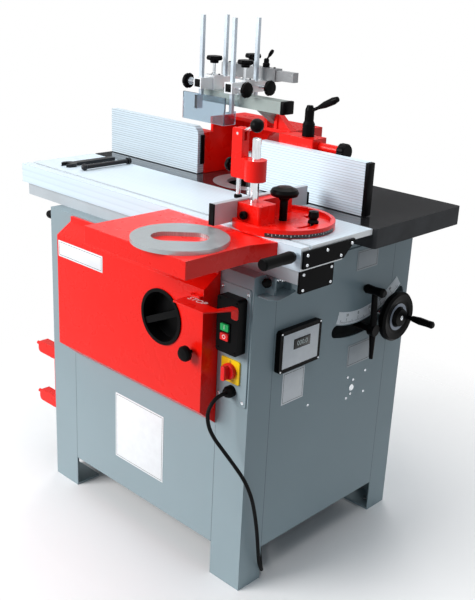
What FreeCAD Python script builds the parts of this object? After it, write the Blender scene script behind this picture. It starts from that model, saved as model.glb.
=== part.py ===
"""Spindle moulder with tilting spindle, sliding table and mitre gauge.

Millimetres. Origin: middle of the four floor anchor holes, on the floor. +Z is up, -Y faces the
operator, +X is the side with the handwheel.
"""
import FreeCAD
import Part
import math
import os

Vector = FreeCAD.Vector
X_AXIS = Vector(1, 0, 0)
Y_AXIS = Vector(0, 1, 0)
Z_AXIS = Vector(0, 0, 1)

# Main sizes
TABLE_TOP = 880.0
TABLE_LENGTH = 1006.0
TABLE_DEPTH = 354.0
CABINET_WIDTH = 734.0
CABINET_DEPTH = 594.0
TABLE_RISE = 84.0
CABINET_TOP = TABLE_TOP - TABLE_RISE
HALF_W = CABINET_WIDTH / 2
HALF_D = CABINET_DEPTH / 2

# Cabinet
SHEET = 3.0
POST_FRONT = 98.0
POST_SIDE = 75.0
PANEL_BOTTOM = 90.0
PANEL_FLANGE = 18.0
FOOT_PLATE = 6.0
ANCHOR_HOLE_R = 7.0
ANCHOR_INSET = 36.0
FRAME_BAR = 42.0
FRAME_THICK = 12.0
RISER_WALL = 6.0
CROSS_BAR = 38.0
VENT_LENGTH = 150.0
VENT_HEIGHT = 8.0
VENT_PITCH = 24.0
VENT_COUNT = 6
VENT_FIRST_Z = CABINET_TOP - 236.0

# Tables
MAIN_RIGHT = HALF_W + 108.0
TABLE_LEFT = MAIN_RIGHT - TABLE_LENGTH
MAIN_FRONT = -28.0
MAIN_REAR = MAIN_FRONT + TABLE_DEPTH
MAIN_EDGE = 46.0
MAIN_PLATE = 16.0
MAIN_SKIRT = 14.0
MAIN_CORNER = 8.0
RIB_WIDTH = 56.0
HUB_RIB = 40.0
RING_R = 102.5
RING_THICK = 9.0
RING_SEAT = 10.0
RING_HOLE_R = 65.0
RING_GAP = 0.3

# Spindle axis and tilt
SPINDLE_X = -10.0
SPINDLE_Y = 88.0
SLOT_R = 298.0
SLOT_WIDTH = 32.0
SLOT_FRONT_DEG = -16.5
SLOT_REAR_DEG = 36.0
WHEEL_DEG = 20.7
LEVER_DEG = 4.2

# Guide rail and sliding table
RAIL_LEFT = TABLE_LEFT + 13.0
RAIL_RIGHT = HALF_W + 88.0
RAIL_FRONT = -HALF_D + 35.0
RAIL_DEPTH = 112.0
RAIL_HEIGHT = 30.0
RAIL_WALL = 6.0
RAIL_MOUTH = 40.0
RAIL_PLATE = 5.0
RAIL_PLATE_DROP = 20.0
SHOE_GAP = 0.3
SHOE_LENGTH = 120.0
SHOE_FIRST_X = -130.0
SHOE_SECOND_X = 70.0
SLIDE_RIGHT = HALF_W + 100.0
SLIDE_FRONT = -HALF_D + 24.0
SLIDE_REAR = MAIN_FRONT - 2.0
SLIDE_HEIGHT = 50.0
SLIDE_PLATE = 13.0
SLIDE_WALL = 5.0
SLIDE_KNEE_TOP = SLIDE_REAR - 68.0
SLIDE_KNEE_LOW = SLIDE_REAR - 104.0
T_SLOT_Y = SLIDE_FRONT + 30.0
T_SLOT_WIDTH = 10.0
T_SLOT_DEPTH = 7.0
END_PLATE = 5.0
HANDLE_X = SLIDE_RIGHT - 15.0
HANDLE_DROP = 19.0
HANDLE_R = 13.0
HANDLE_LENGTH = 100.0
HANDLE_STEM_R = 5.0

# Outrigger tray and loose pieces
TRAY_RIGHT = SLIDE_RIGHT - 85.0
TRAY_LEFT = TRAY_RIGHT - 316.0
TRAY_FLARE = TRAY_RIGHT + 22.0
TRAY_FLARE_Y = SLIDE_FRONT - 62.0
TRAY_FRONT = SLIDE_FRONT - 239.0
TRAY_DROP = 2.0
TRAY_HEIGHT = 38.0
SPARE_RING_X = TRAY_LEFT + 206.0
SPARE_RING_Y = SLIDE_FRONT - 153.0
SPARE_HOLE_LENGTH = 120.0
SPARE_HOLE_WIDTH = 66.0
SPARE_HOLE_DEG = 45.0
SPANNER_X = TABLE_LEFT + 101.0
SPANNER_Y = SLIDE_FRONT + 83.0
SPANNER_LENGTH = 150.0
SPANNER_WIDTH = 20.0
SPANNER_THICK = 9.0
SPANNER_JAW_R = 21.0
SPANNER_MOUTH = 22.0
PIN_X = TABLE_LEFT + 169.0
PIN_LENGTH = 155.0
PIN_R = 6.0
PIN_BALL_R = 9.0

# Mitre gauge
MITRE_X = SLIDE_RIGHT - 145.0
MITRE_Y = SLIDE_FRONT + 107.0
MITRE_R = 115.0
MITRE_BASE = 10.0
MITRE_RIM = 18.0
MITRE_RIM_WIDTH = 10.0
MITRE_LIFT = 0.3
FENCE_BAR_X = MITRE_X - 74.0
FENCE_BAR_THICK = 14.0
FENCE_BAR_NEAR = MITRE_Y - 152.0
FENCE_BAR_FAR = MITRE_Y + 152.0
FENCE_BAR_LOW = 9.0
FENCE_BAR_HEIGHT = 46.0
HOLDER_TOP = 52.0
HOLDER_THICK = 24.0
HOLDER_NEAR = MITRE_Y - 84.0
HOLDER_FAR = MITRE_Y + 70.0
HOLDER_BLOCK = 66.0
HOLDER_BLOCK_DEPTH = 54.0
PIVOT_STUD_R = 9.0
PIVOT_KNOB_R = 32.0
PIVOT_KNOB_Z = 66.0
PIVOT_KNOB_THICK = 20.0
LOCK_RADIUS = 67.0
LOCK_DEG = 32.0
LOCK_SLOT_HALF_DEG = 50.0
LOCK_STUD_R = 5.0
LOCK_KNOB_R = 12.0
COLUMN_X = MITRE_X - 38.0
COLUMN_Y = MITRE_Y - 56.0
COLUMN_R = 10.0
COLUMN_TOP = TABLE_TOP + 190.0
COLUMN_FIT = 0.05
CARRIAGE_Z = TABLE_TOP + 98.0
CARRIAGE_HEIGHT = 46.0
CARRIAGE_R = 24.0
ARM_REACH = 48.0
ARM_THICK = 22.0
ARM_TOP = TABLE_TOP + 206.0
ARM_HALF = 15.0
CAM_Z = TABLE_TOP + 194.0
CAM_R = 9.0
CAM_PIN_R = 3.0
ECCENTRIC = 3.0
BLADE = 8.0
LEVER_BALL_R = 15.0
LEVER_BALL_X = COLUMN_X - 2.0
LEVER_BALL_Z = TABLE_TOP + 216.0
PRESS_R = 5.0
PRESS_LOW = TABLE_TOP + 52.0
PRESS_FIT = 0.05
PRESS_FOOT_R = 9.0
CLAMP_KNOB_R = 16.0
KNOB_LEVEL = TABLE_TOP + 122.0

# Moulder fence
FENCE_FACE = SPINDLE_Y - 56.0
FENCE_THICK = 22.0
FENCE_LOW = 2.0
FENCE_HEIGHT = 124.0
FENCE_GROOVES = 8
FENCE_GROOVE_DEPTH = 1.2
INFEED_LEFT = SPINDLE_X + 72.0
INFEED_RIGHT = MAIN_RIGHT - 87.0
OUTFEED_LEFT = TABLE_LEFT + 6.0
OUTFEED_RIGHT = SPINDLE_X - 150.0
OUTFEED_CORNER_R = 24.0
FENCE_BACK_GAP = 0.4
HOOD_LEFT = SPINDLE_X - 156.0
HOOD_RIGHT = SPINDLE_X + 122.0
HOOD_WALL = 9.0
HOOD_CHEEK_FRONT = SPINDLE_Y - 4.0
HOOD_REAR = SPINDLE_Y + 126.0
HOOD_TOP = TABLE_TOP + 150.0
HOOD_ROOF_FRONT = SPINDLE_Y + 52.0
OUTFEED_STEP = 40.0
OUTFEED_BLOCK_TOP = TABLE_TOP + 110.0
CARRIER_RIGHT = SPINDLE_X + 222.0
CARRIER_DEPTH = 54.0
CARRIER_TOP = TABLE_TOP + 148.0
PORT_R = 50.0
PORT_WALL = 3.0
PORT_LENGTH = 60.0
PORT_X = SPINDLE_X - 17.0
PORT_Z = TABLE_TOP + 72.0
ADJUSTER_Z = TABLE_TOP + 128.0
ADJUSTER_Y = SPINDLE_Y - 4.0
ADJUSTER_R = 11.0
ADJUSTER_LENGTH = 60.0
ADJUSTER_KNOB_R = 20.0
ADJUSTER_KNOB = 24.0
ADJUSTER_PIN_R = 6.0
ADJUSTER_PIN = 20.0
CLAMP_X = SPINDLE_X + 182.0
CLAMP_HUB_R = 15.0
CLAMP_HUB_TOP = TABLE_TOP + 222.0
CLAMP_ARM = 82.0
CLAMP_RISE = 40.0
CLAMP_GRIP_R = 9.0
CLAMP_PIN_R = 5.0
CLAMP_PIN = 20.0

# Guard and pressure unit
BEAM_LEFT = SPINDLE_X - 150.0
BEAM_RIGHT = SPINDLE_X + 132.0
BEAM_FRONT = SPINDLE_Y - 48.0
BEAM_DEPTH = 38.0
BEAM_LOW = TABLE_TOP + 196.0
BEAM_HEIGHT = 30.0
BEAM_WALL = 3.0
HINGE_Y = SPINDLE_Y + 12.0
HINGE_Z = TABLE_TOP + 172.0
HINGE_R = 6.0
HINGE_EAR = 14.0
TONGUE_X = SPINDLE_X + 56.0
TONGUE_WIDTH = 22.0
EAR_WIDTH = 10.0
EAR_GAP = 0.4
ARM_LEFT_X = SPINDLE_X - 126.0
ARM_RIGHT_X = SPINDLE_X - 15.0
ARM_BAR = 27.0
ARM_WALL = 3.5
ARM_FRONT = SPINDLE_Y - 88.0
ARM_REAR = SPINDLE_Y + 58.0
ARM_GAP = 0.3
SLEEVE_WALL = 5.0
SLEEVE_LENGTH = 34.0
SLEEVE_Y = BEAM_FRONT + 19.0
REAR_BEAM_Y = SPINDLE_Y + 30.0
REAR_BEAM_DEPTH = 28.0
REAR_BEAM_HEIGHT = 32.0
REAR_BEAM_LEFT = SPINDLE_X - 158.0
REAR_BEAM_RIGHT = SPINDLE_X + 32.0
REAR_BEAM_WALL = 4.0
EXTENSION_OUT = 58.0
EXTENSION_IN = 120.0
ROD = 9.0
ROD_GAP = 0.2
ROD_INSET = ARM_FRONT + 15.0
REAR_ROD_Y = SPINDLE_Y + 12.0
ROD_REACH = 412.0
ROD_TOP = TABLE_TOP + ROD_REACH
VISOR_FRONT = ARM_FRONT - 6.0
VISOR_LEFT = SPINDLE_X - 172.0
VISOR_RIGHT = ARM_RIGHT_X - ROD / 2
VISOR_LOW = TABLE_TOP + 151.0
VISOR_TOP = TABLE_TOP + 220.0
VISOR_SHEET = 5.0
VISOR_WING = 42.0
VISOR_WING_TOP = TABLE_TOP + 184.0
SIDE_KNOB_R = 20.0
SIDE_STEM = 34.0
STAR_KNOB_R = 21.0
STAR_STEM = 34.0
REAR_STAR_STEM = 15.0
STEM_R = 4.0
STAR_REAR_X = SPINDLE_X - 58.0
BEAM_LEVER_X = SPINDLE_X - 11.0
BEAM_LEVER_HUB_R = 9.0
BEAM_LEVER_HUB = 22.0
BEAM_LEVER_ARM = 20.0
BEAM_LEVER_RISE = 26.0
BEAM_LEVER_GRIP_R = 5.0

# Tilting unit
GUIDE_R = 166.0
GUIDE_WIDTH = 12.0
GUIDE_THICK = 10.0
GUIDE_OFFSET = 130.0
GUIDE_HALF_DEG = 38.0
GUIDE_POST = 14.0
SHOE_HALF_DEG = 12.0
SHOE_DEPTH = 14.0
GUIDE_GAP = 0.4
CHEEK_THICK = 14.0
CHEEK_GAP = 2.0
CHEEK_FRONT = SPINDLE_Y - 68.0
CHEEK_REAR = SPINDLE_Y + 121.0
CHEEK_LOW = TABLE_TOP - 328.0
CHEEK_KNEE = TABLE_TOP - 268.0
CHEEK_HALF = 40.0
CHEEK_TOP = TABLE_TOP - 145.0
WEB_HALF = 18.0
SHELF_LOW = TABLE_TOP - 316.0
SLEEVE_R = 60.0
QUILL_R = 45.0
QUILL_FIT = 0.05
SLEEVE_LOW = TABLE_TOP - 230.0
SLEEVE_TOP = TABLE_TOP - 92.0
QUILL_LOW = TABLE_TOP - 294.0
QUILL_TOP = TABLE_TOP - 45.0
PLATE_THICK = 14.0
MOTOR_PITCH = 145.0
MOTOR_R = 68.0
MOTOR_DROP = 350.0
MOTOR_TOP = TABLE_TOP - MOTOR_DROP
MOTOR_LENGTH = 158.0
MOTOR_FINS = 20
MOTOR_SHAFT_R = 10.0
MOTOR_SHAFT_IN = 20.0
SPACER_R = 7.0
SPACER_AT = 62.0
SPINDLE_R = 15.0
SPINDLE_BODY_R = 20.0
SPINDLE_TOP = TABLE_TOP + 80.0
SPINDLE_COLLAR_R = 30.0
PULLEY_Z = TABLE_TOP - 332.0
PULLEY_HEIGHT = 30.0
PULLEY_R = 34.0
MOTOR_PULLEY_R = 46.0
BELT_HEIGHT = 12.0
BELT_THICK = 7.0
BEARING_R = 36.0
BEARING_HEIGHT = 18.0
SCREW_X = SPINDLE_X + 72.0
SCREW_R = 8.0
SCREW_TOP = TABLE_TOP - 104.0
SCREW_JOURNAL_R = 6.0
BEVEL_R = 18.0
BEVEL_FACE = 8.0
NUT_Z = TABLE_TOP - 190.0
NUT_HEIGHT = 22.0
NUT_FRONT = SPINDLE_Y + 84.0
WHEEL_SHAFT_R = 10.0
WHEEL_X = HALF_W + 31.0
WHEEL_R = 64.0
WHEEL_DEPTH = 28.0
WHEEL_RIM = 9.0
WHEEL_GRIP_R = 10.0
WHEEL_GRIP = 66.0
WHEEL_GRIP_AT = 48.0
WHEEL_GRIP_DEG = -15.0
LEVER_X = HALF_W + 25.0
LEVER_STUD_R = 8.0
LEVER_UP = 104.0
LEVER_DOWN = 78.0
LEVER_LEAN = 8.0
LEVER_GRIP = 58.0
LEVER_GRIP_R = 12.0
SHAFT_FIT = 0.05

# Front cover
COVER_HALF = HALF_W - 99.0
COVER_GAP = 1.5
COVER_DEPTH = 50.0
COVER_DROP = 381.0
COVER_LOW = CABINET_TOP - COVER_DROP
COVER_FACE_DROP = 339.0
COVER_FACE_LOW = CABINET_TOP - COVER_FACE_DROP
COVER_FACE_TOP = CABINET_TOP - 44.0
COVER_TOP = CABINET_TOP - 16.0
COVER_LIP = 13.0
COVER_SHEET = 2.5
OPENING_HALF = COVER_HALF - 36.0
OPENING_DROP = 372.0
OPENING_LOW = CABINET_TOP - OPENING_DROP
OPENING_TOP = CABINET_TOP - 50.0
HINGE_PIN_R = 5.0
HINGE_X = -COVER_HALF - 6.0
HINGE_LENGTH = 26.0
HINGE_LEAF = 28.0
HINGE_LEVELS = (CABINET_TOP - 296.0, CABINET_TOP - 106.0)
GRIP_X = COVER_HALF - 136.0
GRIP_Z = CABINET_TOP - 146.0
GRIP_R = 67.0
GRIP_DEPTH = 34.0
GRIP_WALL = 3.0
GRIP_RIM = 5.0
GRIP_GAP = 0.3
GRIP_BAR = 16.0
GRIP_BAR_DEG = 25.0
KNOB_X = COVER_HALF - 33.0
KNOB_Z = CABINET_TOP - 198.0
KNOB_R = 18.0
KNOB_STEM = 10.0
FLAP_LEFT = COVER_HALF - 31.0
FLAP_RIGHT = COVER_HALF + 63.0
FLAP_FRONT = -HALF_D - 114.0
FLAP_Z = CABINET_TOP - 63.0
FLAP_SHEET = 3.0
FLAP_HINGE_R = 5.0
FLAP_BARREL_LEFT = COVER_HALF - 28.0
FLAP_BARREL_RIGHT = COVER_HALF - 8.0
FLAP_TAB_X = HALF_W - 15.0
FLAP_TAB_Y = -HALF_D - 39.0
FLAP_TAB_DROP = 28.0
FLAP_ARM = 18.0

# Switch gear
SWITCH_PLATE_X = HALF_W - 51.0
SWITCH_PLATE_Z = CABINET_TOP - 170.0
SWITCH_PLATE_WIDTH = 92.0
SWITCH_PLATE_HEIGHT = 280.0
SWITCH_X = HALF_W - 47.0
SWITCH_Z = CABINET_TOP - 116.0
SWITCH_WIDTH = 65.0
SWITCH_HEIGHT = 130.0
SWITCH_DEPTH = 26.0
BUTTON_WIDTH = 24.0
BUTTON_HEIGHT = 16.0
BUTTON_PROUD = 5.0
BUTTON_GAP = 0.3
BUTTON_DEPTH = 12.0
START_Z = CABINET_TOP - 120.0
STOP_Z = CABINET_TOP - 142.0
ISOLATOR_X = HALF_W - 53.0
ISOLATOR_Z = CABINET_TOP - 231.0
ISOLATOR_SIZE = 56.0
ISOLATOR_PLATE = 4.0
ISOLATOR_KNOB_R = 19.0
ISOLATOR_KNOB = 24.0
ISOLATOR_STEM_R = 5.0
GLAND_X = HALF_W - 49.0
GLAND_Z = CABINET_TOP - 280.0
GLAND_R = 14.0
GLAND_LENGTH = 20.0

# Side pieces
READOUT_Y = -HALF_D + 153.0
READOUT_Z = CABINET_TOP - 194.0
READOUT_WIDTH = 144.0
READOUT_HEIGHT = 102.0
READOUT_DEPTH = 14.0
LUG_Y = -HALF_D + 15.0
LUG_DROP = 422.5
LUG_PITCH = 151.0
LUG_Z = (CABINET_TOP - LUG_DROP, CABINET_TOP - LUG_DROP - LUG_PITCH)
LUG_REACH = 81.0
LUG_HEIGHT = 34.0
LUG_DEPTH = 26.0
LUG_CORNER_R = 11.0
LUG_STRAP = 5.0
LUG_PIN_R = 5.0
LUG_PIN = 20.0
LOCK_X = HALF_W + 15.0
LOCK_Z = CABINET_TOP - 12.0
LOCK_ROD_R = 4.0
LOCK_FIT = 0.05
LOCK_FRONT = -HALF_D + 35.0
LOCK_REAR = LOCK_FRONT + 62.0
LOCK_DROP = 32.0
LOCK_RISE = 10.0
LOCK_TRAVEL = 10.0
LOCK_BALL_R = 11.0
LOCK_PLATE = 6.0
LOCK_BASE = 2.5
LOCK_GAP = 2.0
LEDGE_OUT = 26.0
LEDGE_REACH = 51.0
LEDGE_CORNER = 15.0
SPRING_TURNS = 5
SPRING_PITCH = 6.6
SPRING_R = 8.0
SPRING_WIRE_R = 1.6

# Mains lead
CORD_R = 4.5
PLUG_R = 14.0
PLUG_LENGTH = 55.0
COIL_R = 50.0
COIL_PITCH = 9.8
COIL_TURNS = 3
COIL_TAIL = 62.0
CORD_LEAD = 13.0
CORD_BEND_R = 41.0
CORD_BEND_STEPS = 4
CORD_HANG = [(2.5, 51, 0.872), (10, 41, 0.818), (26, 27, 0.762), (48, 12, 0.696), (67, -6, 0.62),
    (74, -25, 0.527), (73, -42, 0.417), (70, -56, 0.31), (68, -66, 0.204), (66, -74, 0.12),
    (60, -94, 0.058), (38, -117, 0.023)]
CORD_FLOOR = [(322, -170), (270, -115), (205, -30), (132, 45)]

# Places that follow from the sizes above
MAIN_LOW = TABLE_TOP - MAIN_EDGE
RAIL_TOP = CABINET_TOP + RAIL_HEIGHT
RAIL_REAR = RAIL_FRONT + RAIL_DEPTH
SLIDE_LOW = TABLE_TOP - SLIDE_HEIGHT
TRAY_TOP = TABLE_TOP - TRAY_DROP
PANEL_FACE = -HALF_D
COVER_REAR = PANEL_FACE - COVER_GAP
COVER_FRONT = COVER_REAR - COVER_DEPTH
MOTOR_Y = SPINDLE_Y - MOTOR_PITCH
WHEEL_Y = SPINDLE_Y + SLOT_R * math.sin(math.radians(WHEEL_DEG))
WHEEL_Z = TABLE_TOP - SLOT_R * math.cos(math.radians(WHEEL_DEG))
LEVER_Y = SPINDLE_Y + SLOT_R * math.sin(math.radians(LEVER_DEG))
LEVER_Z = TABLE_TOP - SLOT_R * math.cos(math.radians(LEVER_DEG))
BEAM_TOP = BEAM_LOW + BEAM_HEIGHT
ARM_LOW = BEAM_TOP + SLEEVE_WALL + ARM_GAP
ARM_HIGH = ARM_LOW + ARM_BAR
ARM_MID = ARM_LOW + ARM_BAR / 2
SLEEVE_HIGH = ARM_HIGH + ARM_GAP + SLEEVE_WALL
FENCE_BACK = FENCE_FACE + FENCE_THICK
MITRE_LOW = TABLE_TOP + MITRE_LIFT
HOLDER_X = FENCE_BAR_X + FENCE_BAR_THICK
ARM_END_X = COLUMN_X - ARM_REACH
SWITCH_FACE = PANEL_FACE - SHEET
ISOLATOR_FACE = SWITCH_FACE - ISOLATOR_PLATE
HINGE_LINE_Y = COVER_REAR - HINGE_PIN_R
FLAP_Y = COVER_FRONT - FLAP_HINGE_R - 1
CORD_END_X, CORD_END_Y = CORD_FLOOR[-1]
COIL_START = math.atan2(CORD_FLOOR[-2][0] - CORD_END_X, CORD_END_Y - CORD_FLOOR[-2][1])
COIL_OUTER = COIL_R + COIL_PITCH * COIL_TURNS / 4
COIL_X = CORD_END_X - COIL_OUTER * math.cos(COIL_START)
COIL_Y = CORD_END_Y - COIL_OUTER * math.sin(COIL_START)


# Building blocks
def box(x0, x1, y0, y1, z0, z1):
    """Box between two corners."""
    return Part.makeBox(x1 - x0, y1 - y0, z1 - z0, Vector(x0, y0, z0))


def rod_x(y, z, radius, x0, x1):
    """Cylinder along X."""
    return Part.makeCylinder(radius, x1 - x0, Vector(x0, y, z), X_AXIS)


def rod_y(x, z, radius, y0, y1):
    """Cylinder along Y."""
    return Part.makeCylinder(radius, y1 - y0, Vector(x, y0, z), Y_AXIS)


def rod_z(x, y, radius, z0, z1):
    """Cylinder along Z."""
    return Part.makeCylinder(radius, z1 - z0, Vector(x, y, z0), Z_AXIS)


def outline(points, radius=0.0):
    """Closed wire through the points, with each corner rounded as far as its sides allow."""
    count = len(points)
    if radius <= 0:
        return Part.makePolygon(points + points[:1])
    entries = []
    for i in range(count):
        here = points[i]
        back = points[i - 1] - here
        ahead = points[(i + 1) % count] - here
        half = back.getAngle(ahead) / 2
        reach = min(radius / math.tan(half), 0.45 * min(back.Length, ahead.Length))
        start = here + Vector(back).normalize() * reach
        end = here + Vector(ahead).normalize() * reach
        middle = (Vector(back).normalize() + Vector(ahead).normalize()).normalize()
        size = reach * math.tan(half)
        peak = here + middle * (size / math.sin(half) - size)
        entries.append((start, peak, end))
    edges = []
    for i in range(count):
        start, peak, end = entries[i]
        edges.append(Part.Arc(start, peak, end).toShape())
        edges.append(Part.LineSegment(end, entries[(i + 1) % count][0]).toShape())
    return Part.Wire(edges)


def prism_x(points, x0, x1, radius=0.0):
    """Outline in Y and Z, drawn out along X."""
    wire = outline([Vector(x0, y, z) for y, z in points], radius)
    return Part.Face(wire).extrude(Vector(x1 - x0, 0, 0))


def prism_y(points, y0, y1, radius=0.0):
    """Outline in X and Z, drawn out along Y."""
    wire = outline([Vector(x, y0, z) for x, z in points], radius)
    return Part.Face(wire).extrude(Vector(0, y1 - y0, 0))


def prism_z(points, z0, z1, radius=0.0):
    """Outline in X and Y, drawn out along Z."""
    wire = outline([Vector(x, y, z0) for x, y in points], radius)
    return Part.Face(wire).extrude(Vector(0, 0, z1 - z0))


def block_y(x, z, width, height, y0, y1, radius):
    """Plate facing Y with rounded corners."""
    w = width / 2
    h = height / 2
    return prism_y([(x - w, z - h), (x + w, z - h), (x + w, z + h), (x - w, z + h)], y0, y1, radius)


def turned(profile):
    """Solid of revolution about Z, from radius and height pairs that start and end on the axis."""
    points = [Vector(r, 0, z) for r, z in profile]
    face = Part.Face(Part.makePolygon(points + points[:1]))
    return face.revolve(Vector(0, 0, 0), Z_AXIS, 360)


def aimed(shape, place, direction):
    """Turn a shape built along +Z at the origin to point along a direction from a place."""
    moved = shape.copy()
    turn = FreeCAD.Rotation(Z_AXIS, direction)
    moved.Placement = FreeCAD.Placement(place, turn).multiply(moved.Placement)
    return moved


def fused(first, *others):
    """One solid from several that touch or overlap."""
    return first.fuse(list(others)).removeSplitter()


def ring_sector(y, z, inner, outer, x0, x1, deg0, deg1):
    """Ring sector about an X axis, with angles measured from straight down towards +Y."""
    def at(radius, deg):
        a = math.radians(deg)
        return Vector(x0, y + radius * math.sin(a), z - radius * math.cos(a))
    mid = (deg0 + deg1) / 2
    edges = [
        Part.Arc(at(inner, deg0), at(inner, mid), at(inner, deg1)).toShape(),
        Part.LineSegment(at(inner, deg1), at(outer, deg1)).toShape(),
        Part.Arc(at(outer, deg1), at(outer, mid), at(outer, deg0)).toShape(),
        Part.LineSegment(at(outer, deg0), at(inner, deg0)).toShape(),
    ]
    return Part.Face(Part.Wire(edges)).extrude(Vector(x1 - x0, 0, 0))


def stadium(x, y, length, width, deg, z0, z1):
    """Upright slot-shaped solid, used to cut oval holes."""
    reach = (length - width) / 2
    ends = [rod_z(s * reach, 0, width / 2, z0, z1) for s in (-1, 1)]
    body = fused(box(-reach, reach, -width / 2, width / 2, z0, z1), *ends)
    body.rotate(Vector(0, 0, 0), Z_AXIS, deg)
    body.translate(Vector(x, y, 0))
    return body


def star_knob(radius, stem, stem_radius, thick, lobes=6):
    """Lobed hand knob on a stud, along +Z, with the stud's end at the origin."""
    head = turned([
        (0, stem), (radius * 0.5, stem), (radius * 0.55, stem + thick * 0.3),
        (radius * 0.94, stem + thick * 0.4), (radius, stem + thick * 0.6),
        (radius * 0.9, stem + thick * 0.9), (0, stem + thick)])
    for i in range(lobes):
        a = 2 * math.pi * i / lobes
        reach = radius * 1.12
        bite = rod_z(reach * math.cos(a), reach * math.sin(a), radius * 0.26, stem, stem + thick * 1.1)
        head = head.cut(bite)
    return fused(head, rod_z(0, 0, stem_radius, 0, stem + thick * 0.2))


def ball_profile(radius, centre, start, neck):
    """Radius and height pairs of a ball on a neck, along +Z from a start height."""
    steps = 10
    pairs = [(0, start), (neck, start)]
    low = math.asin(neck / radius)
    for i in range(steps + 1):
        a = low + (math.pi - low) * i / steps
        pairs.append((radius * math.sin(a), centre - radius * math.cos(a)))
    pairs[-1] = (0, centre + radius)
    return pairs


# Cabinet pieces
def corner_post(side, front):
    """Folded post: front face, side face and a foot plate with its anchor hole."""
    face = box(HALF_W - POST_FRONT, HALF_W, -HALF_D, -HALF_D + SHEET, 0, CABINET_TOP)
    flank = box(HALF_W - SHEET, HALF_W, -HALF_D, -HALF_D + POST_SIDE, 0, CABINET_TOP)
    foot = box(HALF_W - POST_FRONT, HALF_W, -HALF_D, -HALF_D + POST_SIDE, 0, FOOT_PLATE)
    post = fused(face, flank, foot)
    post = post.cut(
        rod_z(HALF_W - ANCHOR_INSET, -HALF_D + ANCHOR_INSET, ANCHOR_HOLE_R, -1, FOOT_PLATE + 1))
    if side < 0:
        post = post.mirror(Vector(0, 0, 0), X_AXIS)
    if front > 0:
        post = post.mirror(Vector(0, 0, 0), Y_AXIS)
    return post


def tilt_slot():
    """Arc slot in the right side for the tilting shafts."""
    x0 = HALF_W - SHEET - 1
    x1 = HALF_W + 1
    inner = SLOT_R - SLOT_WIDTH / 2
    outer = SLOT_R + SLOT_WIDTH / 2
    slot = ring_sector(SPINDLE_Y, TABLE_TOP, inner, outer, x0, x1, SLOT_FRONT_DEG, SLOT_REAR_DEG)
    for deg in (SLOT_FRONT_DEG, SLOT_REAR_DEG):
        a = math.radians(deg)
        y = SPINDLE_Y + SLOT_R * math.sin(a)
        z = TABLE_TOP - SLOT_R * math.cos(a)
        slot = fused(slot, rod_x(y, z, SLOT_WIDTH / 2, x0, x1))
    return slot


def corner_posts():
    """Four posts; the slot runs on into the right rear one."""
    posts = [corner_post(side, front) for side, front in ((-1, -1), (-1, 1), (1, -1))]
    return posts + [corner_post(1, 1).cut(tilt_slot())]


def front_panel():
    """Sheet between the front posts, open behind the cover."""
    half = HALF_W - POST_FRONT
    sheet = box(-half, half, -HALF_D, -HALF_D + SHEET, PANEL_BOTTOM, CABINET_TOP)
    sheet = sheet.cut(
        box(-OPENING_HALF, OPENING_HALF, -HALF_D - 1, -HALF_D + SHEET + 1, OPENING_LOW, OPENING_TOP))
    flange = box(-half, half, -HALF_D, -HALF_D + PANEL_FLANGE, PANEL_BOTTOM, PANEL_BOTTOM + SHEET)
    return fused(sheet, flange)


def rear_panel():
    """Sheet between the rear posts with ventilation slots."""
    half = HALF_W - POST_FRONT
    sheet = box(-half, half, HALF_D - SHEET, HALF_D, PANEL_BOTTOM, CABINET_TOP)
    for i in range(VENT_COUNT):
        low = VENT_FIRST_Z + i * VENT_PITCH
        sheet = sheet.cut(box(
            -VENT_LENGTH / 2, VENT_LENGTH / 2, HALF_D - SHEET - 1, HALF_D + 1, low, low + VENT_HEIGHT))
    flange = box(-half, half, HALF_D - PANEL_FLANGE, HALF_D, PANEL_BOTTOM, PANEL_BOTTOM + SHEET)
    return fused(sheet, flange)


def side_sheet(side):
    """Sheet between the posts of one side."""
    half = HALF_D - POST_SIDE
    x0, x1 = sorted((side * HALF_W, side * (HALF_W - SHEET)))
    f0, f1 = sorted((side * HALF_W, side * (HALF_W - PANEL_FLANGE)))
    sheet = box(x0, x1, -half, half, PANEL_BOTTOM, CABINET_TOP)
    return fused(sheet, box(f0, f1, -half, half, PANEL_BOTTOM, PANEL_BOTTOM + SHEET))


def right_panel():
    """Right sheet with the arc slot."""
    return side_sheet(1).cut(tilt_slot())


def top_frame():
    """Welded frame on the posts, with the walls that lift the main table above the guide rail."""
    out_x = HALF_W - SHEET
    out_y = HALF_D - SHEET
    low = CABINET_TOP - FRAME_THICK
    ring = box(-out_x, out_x, -out_y, out_y, low, CABINET_TOP)
    hole = box(-out_x + FRAME_BAR, out_x - FRAME_BAR, -out_y + FRAME_BAR, out_y - FRAME_BAR, low - 1,
        CABINET_TOP + 1)
    ring = ring.cut(hole)
    cross_rear = MAIN_FRONT + RISER_WALL
    cross = box(-out_x, out_x, cross_rear - CROSS_BAR, cross_rear, low, CABINET_TOP)
    outer = box(-out_x, out_x, MAIN_FRONT, out_y, CABINET_TOP, MAIN_LOW)
    inner = box(
        -out_x + RISER_WALL, out_x - RISER_WALL, cross_rear, out_y - RISER_WALL, low, MAIN_LOW + 1)
    return fused(ring, cross, outer.cut(inner))


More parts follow.
